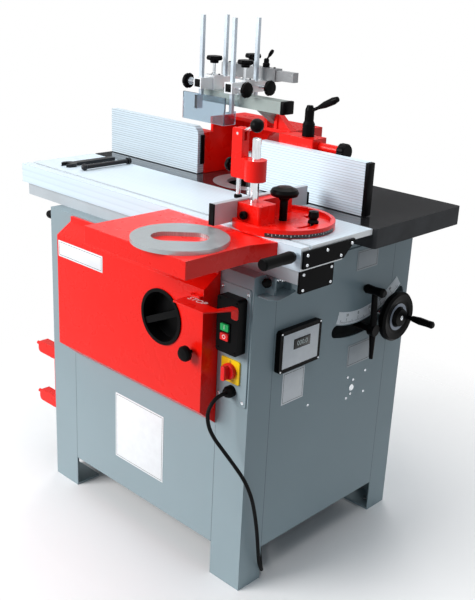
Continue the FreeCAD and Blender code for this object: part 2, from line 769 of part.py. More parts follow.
def main_table():
    """Cast table, ribbed underneath, with a stepped opening for the insert rings."""
    corners = [(TABLE_LEFT, MAIN_FRONT), (MAIN_RIGHT, MAIN_FRONT), (MAIN_RIGHT, MAIN_REAR),
        (TABLE_LEFT, MAIN_REAR)]
    table = prism_z(corners, MAIN_LOW, TABLE_TOP, MAIN_CORNER)
    rib = RIB_WIDTH / 2
    hub = RING_R + HUB_RIB
    seat = HALF_W - SHEET
    spans = [
        (TABLE_LEFT + MAIN_SKIRT, -seat - rib), (-seat + rib, SPINDLE_X - hub),
        (SPINDLE_X + hub, seat - rib), (seat + rib, MAIN_RIGHT - MAIN_SKIRT)]
    # A pocket lies wherever two ribs stand more than a rib's width apart
    for left, right in spans:
        if right - left > RIB_WIDTH:
            pocket = box(left, right, MAIN_FRONT + MAIN_SKIRT, MAIN_REAR - MAIN_SKIRT, MAIN_LOW - 1,
                TABLE_TOP - MAIN_PLATE)
            table = table.cut(pocket)
    rebate = rod_z(SPINDLE_X, SPINDLE_Y, RING_R + RING_GAP, TABLE_TOP - RING_THICK, TABLE_TOP + 1)
    bore = rod_z(SPINDLE_X, SPINDLE_Y, RING_R - RING_SEAT, MAIN_LOW - 1, TABLE_TOP)
    return table.cut(fused(rebate, bore))


def table_insert_ring():
    """Insert ring in the table opening."""
    ring = rod_z(SPINDLE_X, SPINDLE_Y, RING_R, TABLE_TOP - RING_THICK, TABLE_TOP)
    return ring.cut(rod_z(SPINDLE_X, SPINDLE_Y, RING_HOLE_R, TABLE_TOP - RING_THICK - 1, TABLE_TOP + 1))


# Guide rail and sliding table
def guide_rail():
    """C-section rail on the cabinet, and the end plate that hangs at its right end."""
    mid = (RAIL_FRONT + RAIL_REAR) / 2
    bar = box(RAIL_LEFT, RAIL_RIGHT, RAIL_FRONT, RAIL_REAR, CABINET_TOP, RAIL_TOP)
    hollow = box(
        RAIL_LEFT - 1, RAIL_RIGHT + 1, RAIL_FRONT + RAIL_WALL, RAIL_REAR - RAIL_WALL,
        CABINET_TOP + RAIL_WALL, RAIL_TOP - RAIL_WALL)
    mouth = box(RAIL_LEFT - 1, RAIL_RIGHT + 1, mid - RAIL_MOUTH / 2, mid + RAIL_MOUTH / 2,
        RAIL_TOP - RAIL_WALL - 1, RAIL_TOP + 1)
    return bar.cut(fused(hollow, mouth))


def rail_end_plate():
    """Black plate on the right end of the rail, reaching down past the cabinet's top."""
    low = CABINET_TOP - RAIL_PLATE_DROP
    corners = [(RAIL_FRONT, low), (RAIL_REAR, low), (RAIL_REAR, RAIL_TOP), (RAIL_FRONT, RAIL_TOP)]
    return prism_x(corners, RAIL_RIGHT, RAIL_RIGHT + RAIL_PLATE, RAIL_PLATE)


def guide_shoes():
    """Two plastic shoes that carry the sliding table in the rail."""
    mid = (RAIL_FRONT + RAIL_REAR) / 2
    shoes = []
    for x in (SHOE_FIRST_X, SHOE_SECOND_X):
        pad = box(x - SHOE_LENGTH / 2, x + SHOE_LENGTH / 2, RAIL_FRONT + RAIL_WALL + SHOE_GAP,
            RAIL_REAR - RAIL_WALL - SHOE_GAP, CABINET_TOP + RAIL_WALL + SHOE_GAP,
            RAIL_TOP - RAIL_WALL - SHOE_GAP)
        neck = box(x - SHOE_LENGTH / 2, x + SHOE_LENGTH / 2, mid - RAIL_MOUTH / 2 + SHOE_GAP,
            mid + RAIL_MOUTH / 2 - SHOE_GAP, RAIL_TOP - RAIL_WALL - SHOE_GAP, SLIDE_LOW)
        shoes.append(fused(pad, neck))
    return shoes


def slide_section(front_inset=0.0):
    """Outline of the sliding table's deep part in Y and Z."""
    return [
        (SLIDE_FRONT + front_inset, SLIDE_LOW), (SLIDE_KNEE_LOW, SLIDE_LOW),
        (SLIDE_KNEE_TOP, TABLE_TOP - SLIDE_PLATE), (SLIDE_REAR, TABLE_TOP - SLIDE_PLATE),
        (SLIDE_REAR, TABLE_TOP), (SLIDE_FRONT + front_inset, TABLE_TOP)]


def sliding_table():
    """Aluminium extrusion: a hollow beam with a wide top plate and a T-slot near the front."""
    body = prism_x(slide_section(), TABLE_LEFT, SLIDE_RIGHT)
    hollow = prism_x([(SLIDE_FRONT + SLIDE_WALL, SLIDE_LOW + SLIDE_WALL),
        (SLIDE_KNEE_LOW - SLIDE_WALL, SLIDE_LOW + SLIDE_WALL),
        (SLIDE_KNEE_TOP - 2 * SLIDE_WALL, TABLE_TOP - SLIDE_PLATE - SLIDE_WALL),
        (SLIDE_FRONT + SLIDE_WALL, TABLE_TOP - SLIDE_PLATE - SLIDE_WALL)], TABLE_LEFT - 1,
        SLIDE_RIGHT + 1)
    slot = box(
        TABLE_LEFT - 1, SLIDE_RIGHT + 1, T_SLOT_Y - T_SLOT_WIDTH / 2, T_SLOT_Y + T_SLOT_WIDTH / 2,
        TABLE_TOP - T_SLOT_DEPTH, TABLE_TOP + 1)
    return body.cut(hollow).cut(slot)


def table_end_plates():
    """Black plates that close the two ends of the sliding table."""
    top = TABLE_TOP - T_SLOT_DEPTH - 1
    corners = [
        (SLIDE_FRONT + SLIDE_WALL, SLIDE_LOW + SLIDE_WALL), (SLIDE_KNEE_LOW, SLIDE_LOW + SLIDE_WALL),
        (SLIDE_KNEE_TOP, TABLE_TOP - SLIDE_PLATE), (SLIDE_KNEE_TOP, top),
        (SLIDE_FRONT + SLIDE_WALL, top)]
    left = prism_x(corners, TABLE_LEFT - END_PLATE, TABLE_LEFT)
    right = prism_x(corners, SLIDE_RIGHT, SLIDE_RIGHT + END_PLATE)
    return [left, right]


def push_handle():
    """Round grip on a stud at the right front corner of the sliding table."""
    grip = turned([
        (0, 0), (HANDLE_STEM_R, 0), (HANDLE_STEM_R, 8), (HANDLE_R * 0.82, 8), (HANDLE_R, 16),
        (HANDLE_R * 0.92, HANDLE_LENGTH * 0.5), (HANDLE_R, HANDLE_LENGTH - 4),
        (HANDLE_R * 0.85, HANDLE_LENGTH), (0, HANDLE_LENGTH)])
    return aimed(grip, Vector(HANDLE_X, SLIDE_FRONT, TABLE_TOP - HANDLE_DROP), Vector(0, -1, 0))


def outrigger_tray():
    """Folded support table on the front of the sliding table, open underneath."""
    outer = [
        (TRAY_LEFT, TRAY_FRONT), (TRAY_RIGHT, TRAY_FRONT), (TRAY_RIGHT, TRAY_FLARE_Y),
        (TRAY_FLARE, SLIDE_FRONT), (TRAY_LEFT, SLIDE_FRONT)]
    inner = [
        (TRAY_LEFT + SHEET, TRAY_FRONT + SHEET), (TRAY_RIGHT - SHEET, TRAY_FRONT + SHEET),
        (TRAY_RIGHT - SHEET, TRAY_FLARE_Y), (TRAY_FLARE - SHEET, SLIDE_FRONT - SHEET),
        (TRAY_LEFT + SHEET, SLIDE_FRONT - SHEET)]
    low = TRAY_TOP - TRAY_HEIGHT
    return prism_z(outer, low, TRAY_TOP).cut(prism_z(inner, low - 1, TRAY_TOP - SHEET))


def spare_ring():
    """Second insert ring with an oval hole, lying on the tray."""
    ring = rod_z(SPARE_RING_X, SPARE_RING_Y, RING_R, TRAY_TOP, TRAY_TOP + RING_THICK)
    hole = stadium(
        SPARE_RING_X, SPARE_RING_Y, SPARE_HOLE_LENGTH, SPARE_HOLE_WIDTH, SPARE_HOLE_DEG,
        TRAY_TOP - 1, TRAY_TOP + RING_THICK + 1)
    return ring.cut(hole)


def loose_tools():
    """Spanner for the spindle nut and a locking pin, lying on the sliding table."""
    top = TABLE_TOP + SPANNER_THICK
    half = SPANNER_WIDTH / 2
    bar = box(SPANNER_X - half, SPANNER_X + half, SPANNER_Y, SPANNER_Y + SPANNER_LENGTH, TABLE_TOP, top)
    jaw = rod_z(SPANNER_X, SPANNER_Y, SPANNER_JAW_R, TABLE_TOP, top)
    mouth = box(SPANNER_X - SPANNER_MOUTH / 2, SPANNER_X + SPANNER_MOUTH / 2,
        SPANNER_Y - SPANNER_JAW_R - 1, SPANNER_Y, TABLE_TOP - 1, top + 1)
    spanner = fused(bar, jaw).cut(mouth)
    pin = rod_y(PIN_X, TABLE_TOP + PIN_BALL_R, PIN_R, SPANNER_Y, SPANNER_Y + PIN_LENGTH)
    ball = Part.makeSphere(PIN_BALL_R, Vector(PIN_X, SPANNER_Y, TABLE_TOP + PIN_BALL_R))
    tail = rod_y(PIN_X, TABLE_TOP + PIN_BALL_R, PIN_BALL_R, SPANNER_Y + PIN_LENGTH - PIN_BALL_R,
        SPANNER_Y + PIN_LENGTH)
    return [spanner, fused(pin, ball, tail)]


# Mitre gauge
def arc_slot(x, y, radius, half_width, mid_deg, half_deg, z0, z1):
    """Upright curved slot about a Z axis, with round ends."""
    ring = rod_z(x, y, radius + half_width, z0, z1).cut(rod_z(x, y, radius - half_width, z0 - 1, z1 + 1))
    reach = 2 * radius
    ends = []
    corners = [Vector(x, y, z0)]
    steps = 4
    for i in range(steps + 1):
        a = math.radians(mid_deg - half_deg + 2 * half_deg * i / steps)
        corners.append(Vector(x + reach * math.cos(a), y + reach * math.sin(a), z0))
        if i in (0, steps):
            ends.append(rod_z(x + radius * math.cos(a), y + radius * math.sin(a), half_width, z0, z1))
    wedge = Part.Face(Part.makePolygon(corners + corners[:1])).extrude(Vector(0, 0, z1 - z0))
    return fused(ring.common(wedge), *ends)


def mitre_base():
    """Protractor plate with a raised rim, the fence holder and the block under the clamp column."""
    top = MITRE_LOW + MITRE_BASE
    plate = rod_z(MITRE_X, MITRE_Y, MITRE_R, MITRE_LOW, top)
    rim = rod_z(MITRE_X, MITRE_Y, MITRE_R, top, MITRE_LOW + MITRE_RIM)
    rim = rim.cut(rod_z(MITRE_X, MITRE_Y, MITRE_R - MITRE_RIM_WIDTH, top - 1, MITRE_LOW + MITRE_RIM + 1))
    disc = fused(plate, rim)
    disc = disc.cut(box(MITRE_X - 2 * MITRE_R, HOLDER_X, MITRE_Y - 2 * MITRE_R, MITRE_Y + 2 * MITRE_R,
        TABLE_TOP, CARRIAGE_Z))
    hold_top = TABLE_TOP + HOLDER_TOP
    wall = box(HOLDER_X, HOLDER_X + HOLDER_THICK, HOLDER_NEAR, HOLDER_FAR, MITRE_LOW, hold_top)
    corners = [(HOLDER_X, HOLDER_NEAR), (HOLDER_X + HOLDER_BLOCK, HOLDER_NEAR),
        (HOLDER_X + HOLDER_BLOCK, HOLDER_NEAR + HOLDER_BLOCK_DEPTH),
        (HOLDER_X, HOLDER_NEAR + HOLDER_BLOCK_DEPTH)]
    block = prism_z(corners, MITRE_LOW, hold_top, 6.0)
    body = fused(disc, wall, block)
    body = body.cut(rod_z(MITRE_X, MITRE_Y, PIVOT_STUD_R + COLUMN_FIT, TABLE_TOP, hold_top))
    slot = arc_slot(MITRE_X, MITRE_Y, LOCK_RADIUS, LOCK_STUD_R + RING_GAP, LOCK_DEG, LOCK_SLOT_HALF_DEG,
        TABLE_TOP, hold_top)
    return body.cut(slot)


def mitre_fence():
    """Aluminium fence bar on the holder, with two grooves in its face."""
    low = MITRE_LOW + FENCE_BAR_LOW
    top = low + FENCE_BAR_HEIGHT
    bar = box(FENCE_BAR_X, HOLDER_X, FENCE_BAR_NEAR, FENCE_BAR_FAR, low, top)
    groove = T_SLOT_DEPTH / 2
    for level in (low + FENCE_BAR_HEIGHT * 0.3, low + FENCE_BAR_HEIGHT * 0.7):
        bar = bar.cut(box(FENCE_BAR_X - 1, FENCE_BAR_X + groove, FENCE_BAR_NEAR - 1, FENCE_BAR_FAR + 1,
            level - groove, level + groove))
    return bar


def clamp_column():
    """Steel column on the holder block."""
    foot = TABLE_TOP + HOLDER_TOP
    column = turned([(0, foot), (COLUMN_R, foot), (COLUMN_R, COLUMN_TOP - 2), (COLUMN_R - 2, COLUMN_TOP),
        (0, COLUMN_TOP)])
    column.translate(Vector(COLUMN_X, COLUMN_Y, 0))
    return column


def pivot_knob():
    """Mushroom knob on the stud about which the gauge swings."""
    low = PIVOT_KNOB_Z
    top = low + PIVOT_KNOB_THICK
    knob = turned([
        (0, 0), (PIVOT_STUD_R, 0), (PIVOT_STUD_R, low - 12), (PIVOT_KNOB_R * 0.45, low - 4),
        (PIVOT_KNOB_R * 0.92, low), (PIVOT_KNOB_R, low + 7), (PIVOT_KNOB_R * 0.88, low + 14),
        (PIVOT_KNOB_R * 0.5, top - 1), (0, top)])
    knob.translate(Vector(MITRE_X, MITRE_Y, TABLE_TOP))
    return knob


def mitre_lock_knob():
    """Small knob whose stud stands in the arc slot."""
    a = math.radians(LOCK_DEG)
    seat = MITRE_LIFT + MITRE_BASE + RING_GAP
    knob = turned([(0, 0), (LOCK_STUD_R, 0), (LOCK_STUD_R, seat), (LOCK_KNOB_R, seat),
        (LOCK_KNOB_R, seat + 4), (LOCK_KNOB_R * 0.7, seat + 8), (LOCK_KNOB_R, seat + 14),
        (LOCK_KNOB_R * 0.9, seat + 26), (0, seat + 28)])
    knob.translate(
        Vector(MITRE_X + LOCK_RADIUS * math.cos(a), MITRE_Y + LOCK_RADIUS * math.sin(a), TABLE_TOP))
    return knob


def clamp_carriage():
    """Collar on the column with an arm that carries the eccentric and the press rod."""
    top = CARRIAGE_Z + CARRIAGE_HEIGHT
    half = ARM_THICK / 2
    collar = rod_z(COLUMN_X, COLUMN_Y, CARRIAGE_R, CARRIAGE_Z, top)
    arm = box(ARM_END_X, COLUMN_X, COLUMN_Y - half, COLUMN_Y + half, CARRIAGE_Z, top)
    left = ARM_END_X - ARM_HALF
    right = ARM_END_X + ARM_HALF
    head = prism_y(
        [(left, CARRIAGE_Z), (right, CARRIAGE_Z), (right, ARM_TOP), (left, ARM_TOP)],
        COLUMN_Y - half, COLUMN_Y + half, 5.0)
    body = fused(collar, arm, head)
    body = body.cut(rod_z(COLUMN_X, COLUMN_Y, COLUMN_R + COLUMN_FIT, CARRIAGE_Z - 1, top + 1))
    gap = BLADE / 2 + EAR_GAP
    body = body.cut(box(
        left - 1, right + 1, COLUMN_Y - gap, COLUMN_Y + gap, CAM_Z - CAM_R - 2 * ECCENTRIC, ARM_TOP + 1))
    body = body.cut(rod_z(ARM_END_X, COLUMN_Y, PRESS_R + PRESS_FIT, CARRIAGE_Z - 1, CAM_Z))
    body = body.cut(
        rod_y(ARM_END_X, CAM_Z, CAM_PIN_R + PRESS_FIT, COLUMN_Y - half - 1, COLUMN_Y + half + 1))
    return body.cut(rod_x(COLUMN_Y, KNOB_LEVEL, STEM_R + PRESS_FIT, left - 1, ARM_END_X))


def clamp_lever():
    """Eccentric disc with its pin, and the lever that ends in a ball."""
    half = BLADE / 2
    disc = rod_y(ARM_END_X - ECCENTRIC, CAM_Z, CAM_R, COLUMN_Y - half, COLUMN_Y + half)
    pin = rod_y(ARM_END_X, CAM_Z, CAM_PIN_R, COLUMN_Y - ARM_THICK / 2, COLUMN_Y + ARM_THICK / 2)
    reach = Vector(LEVER_BALL_X - ARM_END_X, 0, LEVER_BALL_Z - CAM_Z)
    arm = aimed(turned(
        ball_profile(LEVER_BALL_R, reach.Length, 0, half)), Vector(ARM_END_X, COLUMN_Y, CAM_Z), reach)
    return fused(disc, pin, arm)


def press_rod():
    """Press rod with a round foot."""
    foot = PRESS_LOW
    rod = turned([
        (0, foot), (PRESS_FOOT_R, foot), (PRESS_FOOT_R, foot + 6), (PRESS_R, foot + 8),
        (PRESS_R, CAM_Z - CAM_R - RING_GAP), (0, CAM_Z - CAM_R - RING_GAP)])
    rod.translate(Vector(ARM_END_X, COLUMN_Y, 0))
    return rod


def carriage_knob():
    """Knob on the arm's end that holds the press rod."""
    tip = ARM_END_X - PRESS_R - RING_GAP
    stem = tip - (ARM_END_X - ARM_HALF) + 2
    return aimed(
        star_knob(CLAMP_KNOB_R, stem, STEM_R, 16.0), Vector(tip, COLUMN_Y, KNOB_LEVEL), Vector(-1, 0, 0))


# Moulder fence
def fence_plate(x0, x1):
    """Fence plate with fine horizontal grooves in its face."""
    low = TABLE_TOP + FENCE_LOW
    plate = box(x0, x1, FENCE_FACE, FENCE_BACK, low, low + FENCE_HEIGHT)
    pitch = FENCE_HEIGHT / (FENCE_GROOVES + 1)
    for i in range(FENCE_GROOVES):
        level = low + pitch * (i + 1)
        plate = plate.cut(box(
            x0 - 1, x1 + 1, FENCE_FACE - 1, FENCE_FACE + FENCE_GROOVE_DEPTH, level - 1.5, level + 1.5))
    return plate


def infeed_fence():
    return fence_plate(INFEED_LEFT, INFEED_RIGHT)


def outfeed_fence():
    """Outfeed plate, rounded at its inner top corner."""
    top = TABLE_TOP + FENCE_LOW + FENCE_HEIGHT
    r = OUTFEED_CORNER_R
    corner = box(OUTFEED_RIGHT - r, OUTFEED_RIGHT + 1, FENCE_FACE - 1, FENCE_BACK + 1, top - r, top + 1)
    corner = corner.cut(rod_y(OUTFEED_RIGHT - r, top - r, r, FENCE_FACE - 2, FENCE_BACK + 2))
    return fence_plate(OUTFEED_LEFT, OUTFEED_RIGHT).cut(corner)


def fence_hood():
    """Hood casting: cheeks, rear wall with the dust spigot, roof, carriers and guard hinge."""
    low = TABLE_TOP + MITRE_LIFT
    front = FENCE_BACK + FENCE_BACK_GAP
    left = box(HOOD_LEFT, HOOD_LEFT + HOOD_WALL, HOOD_CHEEK_FRONT, HOOD_REAR, low, HOOD_TOP)
    right = box(HOOD_RIGHT - HOOD_WALL, HOOD_RIGHT, HOOD_CHEEK_FRONT, HOOD_REAR, low, HOOD_TOP)
    rear = box(HOOD_LEFT, HOOD_RIGHT, HOOD_REAR - HOOD_WALL, HOOD_REAR, low, HOOD_TOP)
    roof = box(HOOD_LEFT, HOOD_RIGHT, HOOD_ROOF_FRONT, HOOD_REAR, HOOD_TOP - HOOD_WALL, HOOD_TOP)
    ears = [TONGUE_X - TONGUE_WIDTH / 2 - EAR_GAP - EAR_WIDTH, TONGUE_X + TONGUE_WIDTH / 2 + EAR_GAP]
    bridge = box(ears[0], HOOD_RIGHT, HOOD_CHEEK_FRONT, HOOD_ROOF_FRONT, HOOD_TOP - HOOD_WALL, HOOD_TOP)
    outfeed = prism_z([
        (HOOD_LEFT - OUTFEED_STEP, front), (HOOD_LEFT + HOOD_WALL, front),
        (HOOD_LEFT + HOOD_WALL, HOOD_CHEEK_FRONT + HOOD_WALL),
        (HOOD_LEFT - OUTFEED_STEP, HOOD_CHEEK_FRONT + HOOD_WALL)], low, OUTFEED_BLOCK_TOP, 3.0)
    infeed = prism_z([(HOOD_RIGHT - HOOD_WALL, front), (CARRIER_RIGHT, front),
        (CARRIER_RIGHT, front + CARRIER_DEPTH), (HOOD_RIGHT - HOOD_WALL, front + CARRIER_DEPTH)], low,
        CARRIER_TOP, 3.0)
    body = fused(left, right, rear, roof, bridge, outfeed, infeed)
    for x in ears:
        neck = box(x, x + EAR_WIDTH, HINGE_Y - HINGE_EAR, HINGE_Y + HINGE_EAR, HOOD_TOP - 1, HINGE_Z)
        body = fused(body, neck, rod_x(HINGE_Y, HINGE_Z, HINGE_EAR, x, x + EAR_WIDTH))
    rib_left = ears[1] + EAR_WIDTH
    rib = prism_y(
        [(rib_left - 1, HOOD_TOP - 1), (HOOD_RIGHT, HOOD_TOP - 1), (rib_left - 1, HINGE_Z + HINGE_EAR)],
        HINGE_Y - EAR_WIDTH, HINGE_Y + EAR_WIDTH)
    pin = rod_x(HINGE_Y, HINGE_Z, HINGE_R, ears[0], rib_left)
    port = rod_y(PORT_X, PORT_Z, PORT_R, HOOD_REAR - 1, HOOD_REAR + PORT_LENGTH)
    body = fused(body, rib, pin, port)
    body = body.cut(
        rod_y(PORT_X, PORT_Z, PORT_R - PORT_WALL, HOOD_REAR - HOOD_WALL - 1, HOOD_REAR + PORT_LENGTH + 1))
    body = body.cut(rod_x(ADJUSTER_Y, ADJUSTER_Z, ADJUSTER_PIN_R + SHAFT_FIT,
        CARRIER_RIGHT - ADJUSTER_PIN, CARRIER_RIGHT + 1))
    return body.cut(
        rod_z(CLAMP_X, ADJUSTER_Y, CLAMP_PIN_R + SHAFT_FIT, CARRIER_TOP - CLAMP_PIN, CARRIER_TOP + 1))


def fence_adjuster():
    """Adjusting shaft with its fluted knob."""
    start = CARRIER_RIGHT + RING_GAP
    end = start + ADJUSTER_LENGTH
    pin = rod_x(ADJUSTER_Y, ADJUSTER_Z, ADJUSTER_PIN_R, CARRIER_RIGHT - ADJUSTER_PIN + 1, start + 1)
    shaft = rod_x(ADJUSTER_Y, ADJUSTER_Z, ADJUSTER_R, start, end)
    r = ADJUSTER_KNOB_R
    knob = turned([(0, 0), (r * 0.7, 0), (r, 4), (r, ADJUSTER_KNOB - 4), (r * 0.85, ADJUSTER_KNOB),
        (0, ADJUSTER_KNOB)])
    knob = aimed(knob, Vector(end, ADJUSTER_Y, ADJUSTER_Z), X_AXIS)
    flutes = 8
    for i in range(flutes):
        a = 2 * math.pi * i / flutes
        y = ADJUSTER_Y + (r + 2) * math.cos(a)
        z = ADJUSTER_Z + (r + 2) * math.sin(a)
        knob = knob.cut(rod_x(y, z, 4.0, end - 1, end + ADJUSTER_KNOB + 1))
    return fused(pin, shaft, knob)


def hand_lever(pin_r, pin, hub_r, hub, arm, rise, grip_r):
    """Clamping lever along +Z with the seat at the origin and the arm rising towards +X."""
    pole = turned([
        (0, -pin), (pin_r, -pin), (pin_r, 0), (hub_r, 0), (hub_r, hub * 0.4), (hub_r * 0.75, hub * 0.5),
        (hub_r * 0.75, hub * 0.85), (hub_r * 0.5, hub), (0, hub)])
    start = hub * 0.8
    reach = Vector(arm, 0, rise)
    bar = turned([(0, 0), (grip_r * 0.5, 0), (grip_r * 0.45, reach.Length * 0.3),
        (grip_r * 0.9, reach.Length * 0.55), (grip_r, reach.Length * 0.85), (grip_r * 0.7, reach.Length),
        (0, reach.Length + 1)])
    return fused(pole, aimed(bar, Vector(0, 0, start), reach))


def fence_clamp_lever():
    """Lever that clamps the infeed carrier."""
    hub = CLAMP_HUB_TOP - CARRIER_TOP
    lever = hand_lever(CLAMP_PIN_R, CLAMP_PIN - 1, CLAMP_HUB_R, hub, CLAMP_ARM, CLAMP_RISE, CLAMP_GRIP_R)
    lever.translate(Vector(CLAMP_X, ADJUSTER_Y, CARRIER_TOP + RING_GAP))
    return lever


# Guard and pressure unit
def guard_beam():
    """Channel beam with the two arm sleeves and the hinge tongue."""
    rear = BEAM_FRONT + BEAM_DEPTH
    beam = box(BEAM_LEFT, BEAM_RIGHT, BEAM_FRONT, rear, BEAM_LOW, BEAM_TOP)
    beam = beam.cut(box(BEAM_LEFT - 1, BEAM_RIGHT + 1, BEAM_FRONT + BEAM_WALL, rear - BEAM_WALL,
        BEAM_LOW - 1, BEAM_TOP - BEAM_WALL))
    half = TONGUE_WIDTH / 2
    tongue = prism_x([(BEAM_FRONT + 2, BEAM_TOP - 1), (rear - 1, BEAM_TOP - 1),
        (HINGE_Y + HINGE_EAR, HINGE_Z + HINGE_EAR / 2), (HINGE_Y + HINGE_EAR, HINGE_Z - HINGE_EAR / 2),
        (HINGE_Y, HINGE_Z - HINGE_EAR), (BEAM_FRONT + 2, BEAM_LOW)], TONGUE_X - half, TONGUE_X + half,
        4.0)
    body = fused(beam, tongue)
    out = ARM_BAR / 2 + ARM_GAP + SLEEVE_WALL
    hole = ARM_BAR / 2 + ARM_GAP
    for x in (ARM_LEFT_X, ARM_RIGHT_X):
        sleeve = box(x - out, x + out, SLEEVE_Y - SLEEVE_LENGTH / 2, SLEEVE_Y + SLEEVE_LENGTH / 2,
            BEAM_TOP - 1, SLEEVE_HIGH)
        body = fused(body, sleeve)
    for x in (ARM_LEFT_X, ARM_RIGHT_X):
        body = body.cut(
            box(x - hole, x + hole, BEAM_FRONT - 9, rear + 9, ARM_LOW - ARM_GAP, ARM_HIGH + ARM_GAP))
        body = body.cut(rod_z(x, SLEEVE_Y, STEM_R + SHAFT_FIT, ARM_HIGH, SLEEVE_HIGH + 1))
    return body.cut(
        rod_x(HINGE_Y, HINGE_Z, HINGE_R + SHAFT_FIT, TONGUE_X - half - 1, TONGUE_X + half + 1))


def square_hole(x, y):
    """Cutter for a square rod's hole through an arm."""
    half = ROD / 2 + ROD_GAP
    return box(x - half, x + half, y - half, y + half, ARM_LOW - 1, ARM_HIGH + 1)


def pressure_frame():
    """Two arms and the rear beam that joins them, with the extension bar clamped in it."""
    half = ARM_BAR / 2
    core = half - ARM_WALL
    arms = []
    for x in (ARM_LEFT_X, ARM_RIGHT_X):
        arm = box(x - half, x + half, ARM_FRONT, ARM_REAR, ARM_LOW, ARM_HIGH)
        arm = arm.cut(
            box(x - core, x + core, ARM_FRONT - 1, ARM_REAR + 1, ARM_LOW + ARM_WALL, ARM_HIGH - ARM_WALL))
        for y in (ROD_INSET, REAR_ROD_Y):
            arm = arm.cut(square_hole(x, y))
        arms.append(arm)
    top = ARM_HIGH + REAR_BEAM_HEIGHT
    rear = REAR_BEAM_Y + REAR_BEAM_DEPTH
    wall = REAR_BEAM_WALL
    beam = box(REAR_BEAM_LEFT, REAR_BEAM_RIGHT, REAR_BEAM_Y, rear, ARM_HIGH, top)
    beam = beam.cut(box(REAR_BEAM_LEFT - 1, REAR_BEAM_RIGHT + 1, REAR_BEAM_Y + wall, rear - wall,
        ARM_HIGH + wall, top - wall))
    body = fused(arms[0], arms[1], beam)
    hole = STEM_R + SHAFT_FIT
    body = body.cut(rod_x(ROD_INSET, ARM_MID, hole, ARM_LEFT_X - half - 1, ARM_LEFT_X))
    for y in (ROD_INSET, REAR_ROD_Y):
        body = body.cut(rod_x(y, ARM_MID, hole, ARM_RIGHT_X, ARM_RIGHT_X + half + 1))
    middle = (REAR_BEAM_Y + rear) / 2
    for x in (STAR_REAR_X, BEAM_LEVER_X):
        body = body.cut(rod_z(x, middle, hole, top - wall - 1, top + 1))
    bar = box(
        REAR_BEAM_RIGHT - EXTENSION_IN, REAR_BEAM_RIGHT + EXTENSION_OUT, REAR_BEAM_Y + wall, rear - wall,
        ARM_HIGH + wall, top - wall)
    return [body, bar]


def visor():
    """Clear front plate with a wing folded back along its right edge."""
    front = box(VISOR_LEFT, VISOR_RIGHT, VISOR_FRONT, VISOR_FRONT + VISOR_SHEET, VISOR_LOW, VISOR_TOP)
    wing = box(VISOR_RIGHT - VISOR_SHEET, VISOR_RIGHT, VISOR_FRONT, VISOR_FRONT + VISOR_WING,
        VISOR_LOW, VISOR_WING_TOP)
    return fused(front, wing)


def square_rod(x, y, low):
    half = ROD / 2
    return box(x - half, x + half, y - half, y + half, low, ROD_TOP)


def visor_rods():
    """Two square rods that carry the visor, with a spacer block on the left one."""
    low = VISOR_LOW + VISOR_SHEET * 6
    half = ROD / 2
    left = square_rod(ARM_LEFT_X, ROD_INSET, low)
    spacer = box(ARM_LEFT_X - half, ARM_LEFT_X + half, VISOR_FRONT + VISOR_SHEET, ROD_INSET, low,
        VISOR_TOP - VISOR_SHEET)
    return [fused(left, spacer), square_rod(ARM_RIGHT_X, ROD_INSET, low)]


def rear_rods():
    """Two square pressure rods behind the beam."""
    return [square_rod(x, REAR_ROD_Y, BEAM_LOW + BEAM_HEIGHT / 2) for x in (ARM_LEFT_X, ARM_RIGHT_X)]


def side_knob(x, y, side):
    """Star knob whose stud bears on a square rod through the arm's side."""
    tip = x + side * (ROD / 2 + RING_GAP)
    return aimed(
        star_knob(SIDE_KNOB_R, SIDE_STEM, STEM_R, 17.0), Vector(tip, y, ARM_MID), Vector(side, 0, 0))


def star_knob_top(x, y, tip, stem=STAR_STEM):
    """Star knob standing on a sleeve or beam."""
    knob = star_knob(STAR_KNOB_R, stem, STEM_R, 20.0)
    knob.translate(Vector(x, y, tip))
    return knob


def beam_lever():
    """Small clamp lever on the rear beam."""
    seat = ARM_HIGH + REAR_BEAM_HEIGHT
    lever = hand_lever(STEM_R, REAR_BEAM_WALL - RING_GAP, BEAM_LEVER_HUB_R, BEAM_LEVER_HUB,
        BEAM_LEVER_ARM, BEAM_LEVER_RISE, BEAM_LEVER_GRIP_R)
    lever.translate(Vector(BEAM_LEVER_X, REAR_BEAM_Y + REAR_BEAM_DEPTH / 2, seat + RING_GAP))
    return lever


# Tilting unit
def tilt_guides():
    """Arc rails under the table, each hung from two posts."""
    parts = []
    inner = GUIDE_R - GUIDE_WIDTH / 2
    outer = GUIDE_R + GUIDE_WIDTH / 2
    a = math.radians(GUIDE_HALF_DEG)
    end_z = TABLE_TOP - GUIDE_R * math.cos(a)
    rear_y = SPINDLE_Y + GUIDE_R * math.sin(a)
    front_y = MAIN_FRONT + RISER_WALL
    for side in (-1, 1):
        x0 = SPINDLE_X + side * GUIDE_OFFSET - GUIDE_THICK / 2
        x1 = x0 + GUIDE_THICK
        rail = ring_sector(SPINDLE_Y, TABLE_TOP, inner, outer, x0, x1, -GUIDE_HALF_DEG, GUIDE_HALF_DEG)
        front = box(x0, x1, front_y, front_y + GUIDE_POST, end_z - GUIDE_WIDTH, MAIN_LOW)
        rear = box(
            x0, x1, rear_y - GUIDE_POST / 2, rear_y + GUIDE_POST / 2, end_z - GUIDE_WIDTH, MAIN_LOW)
        parts.append(fused(rail, front, rear))
    return parts


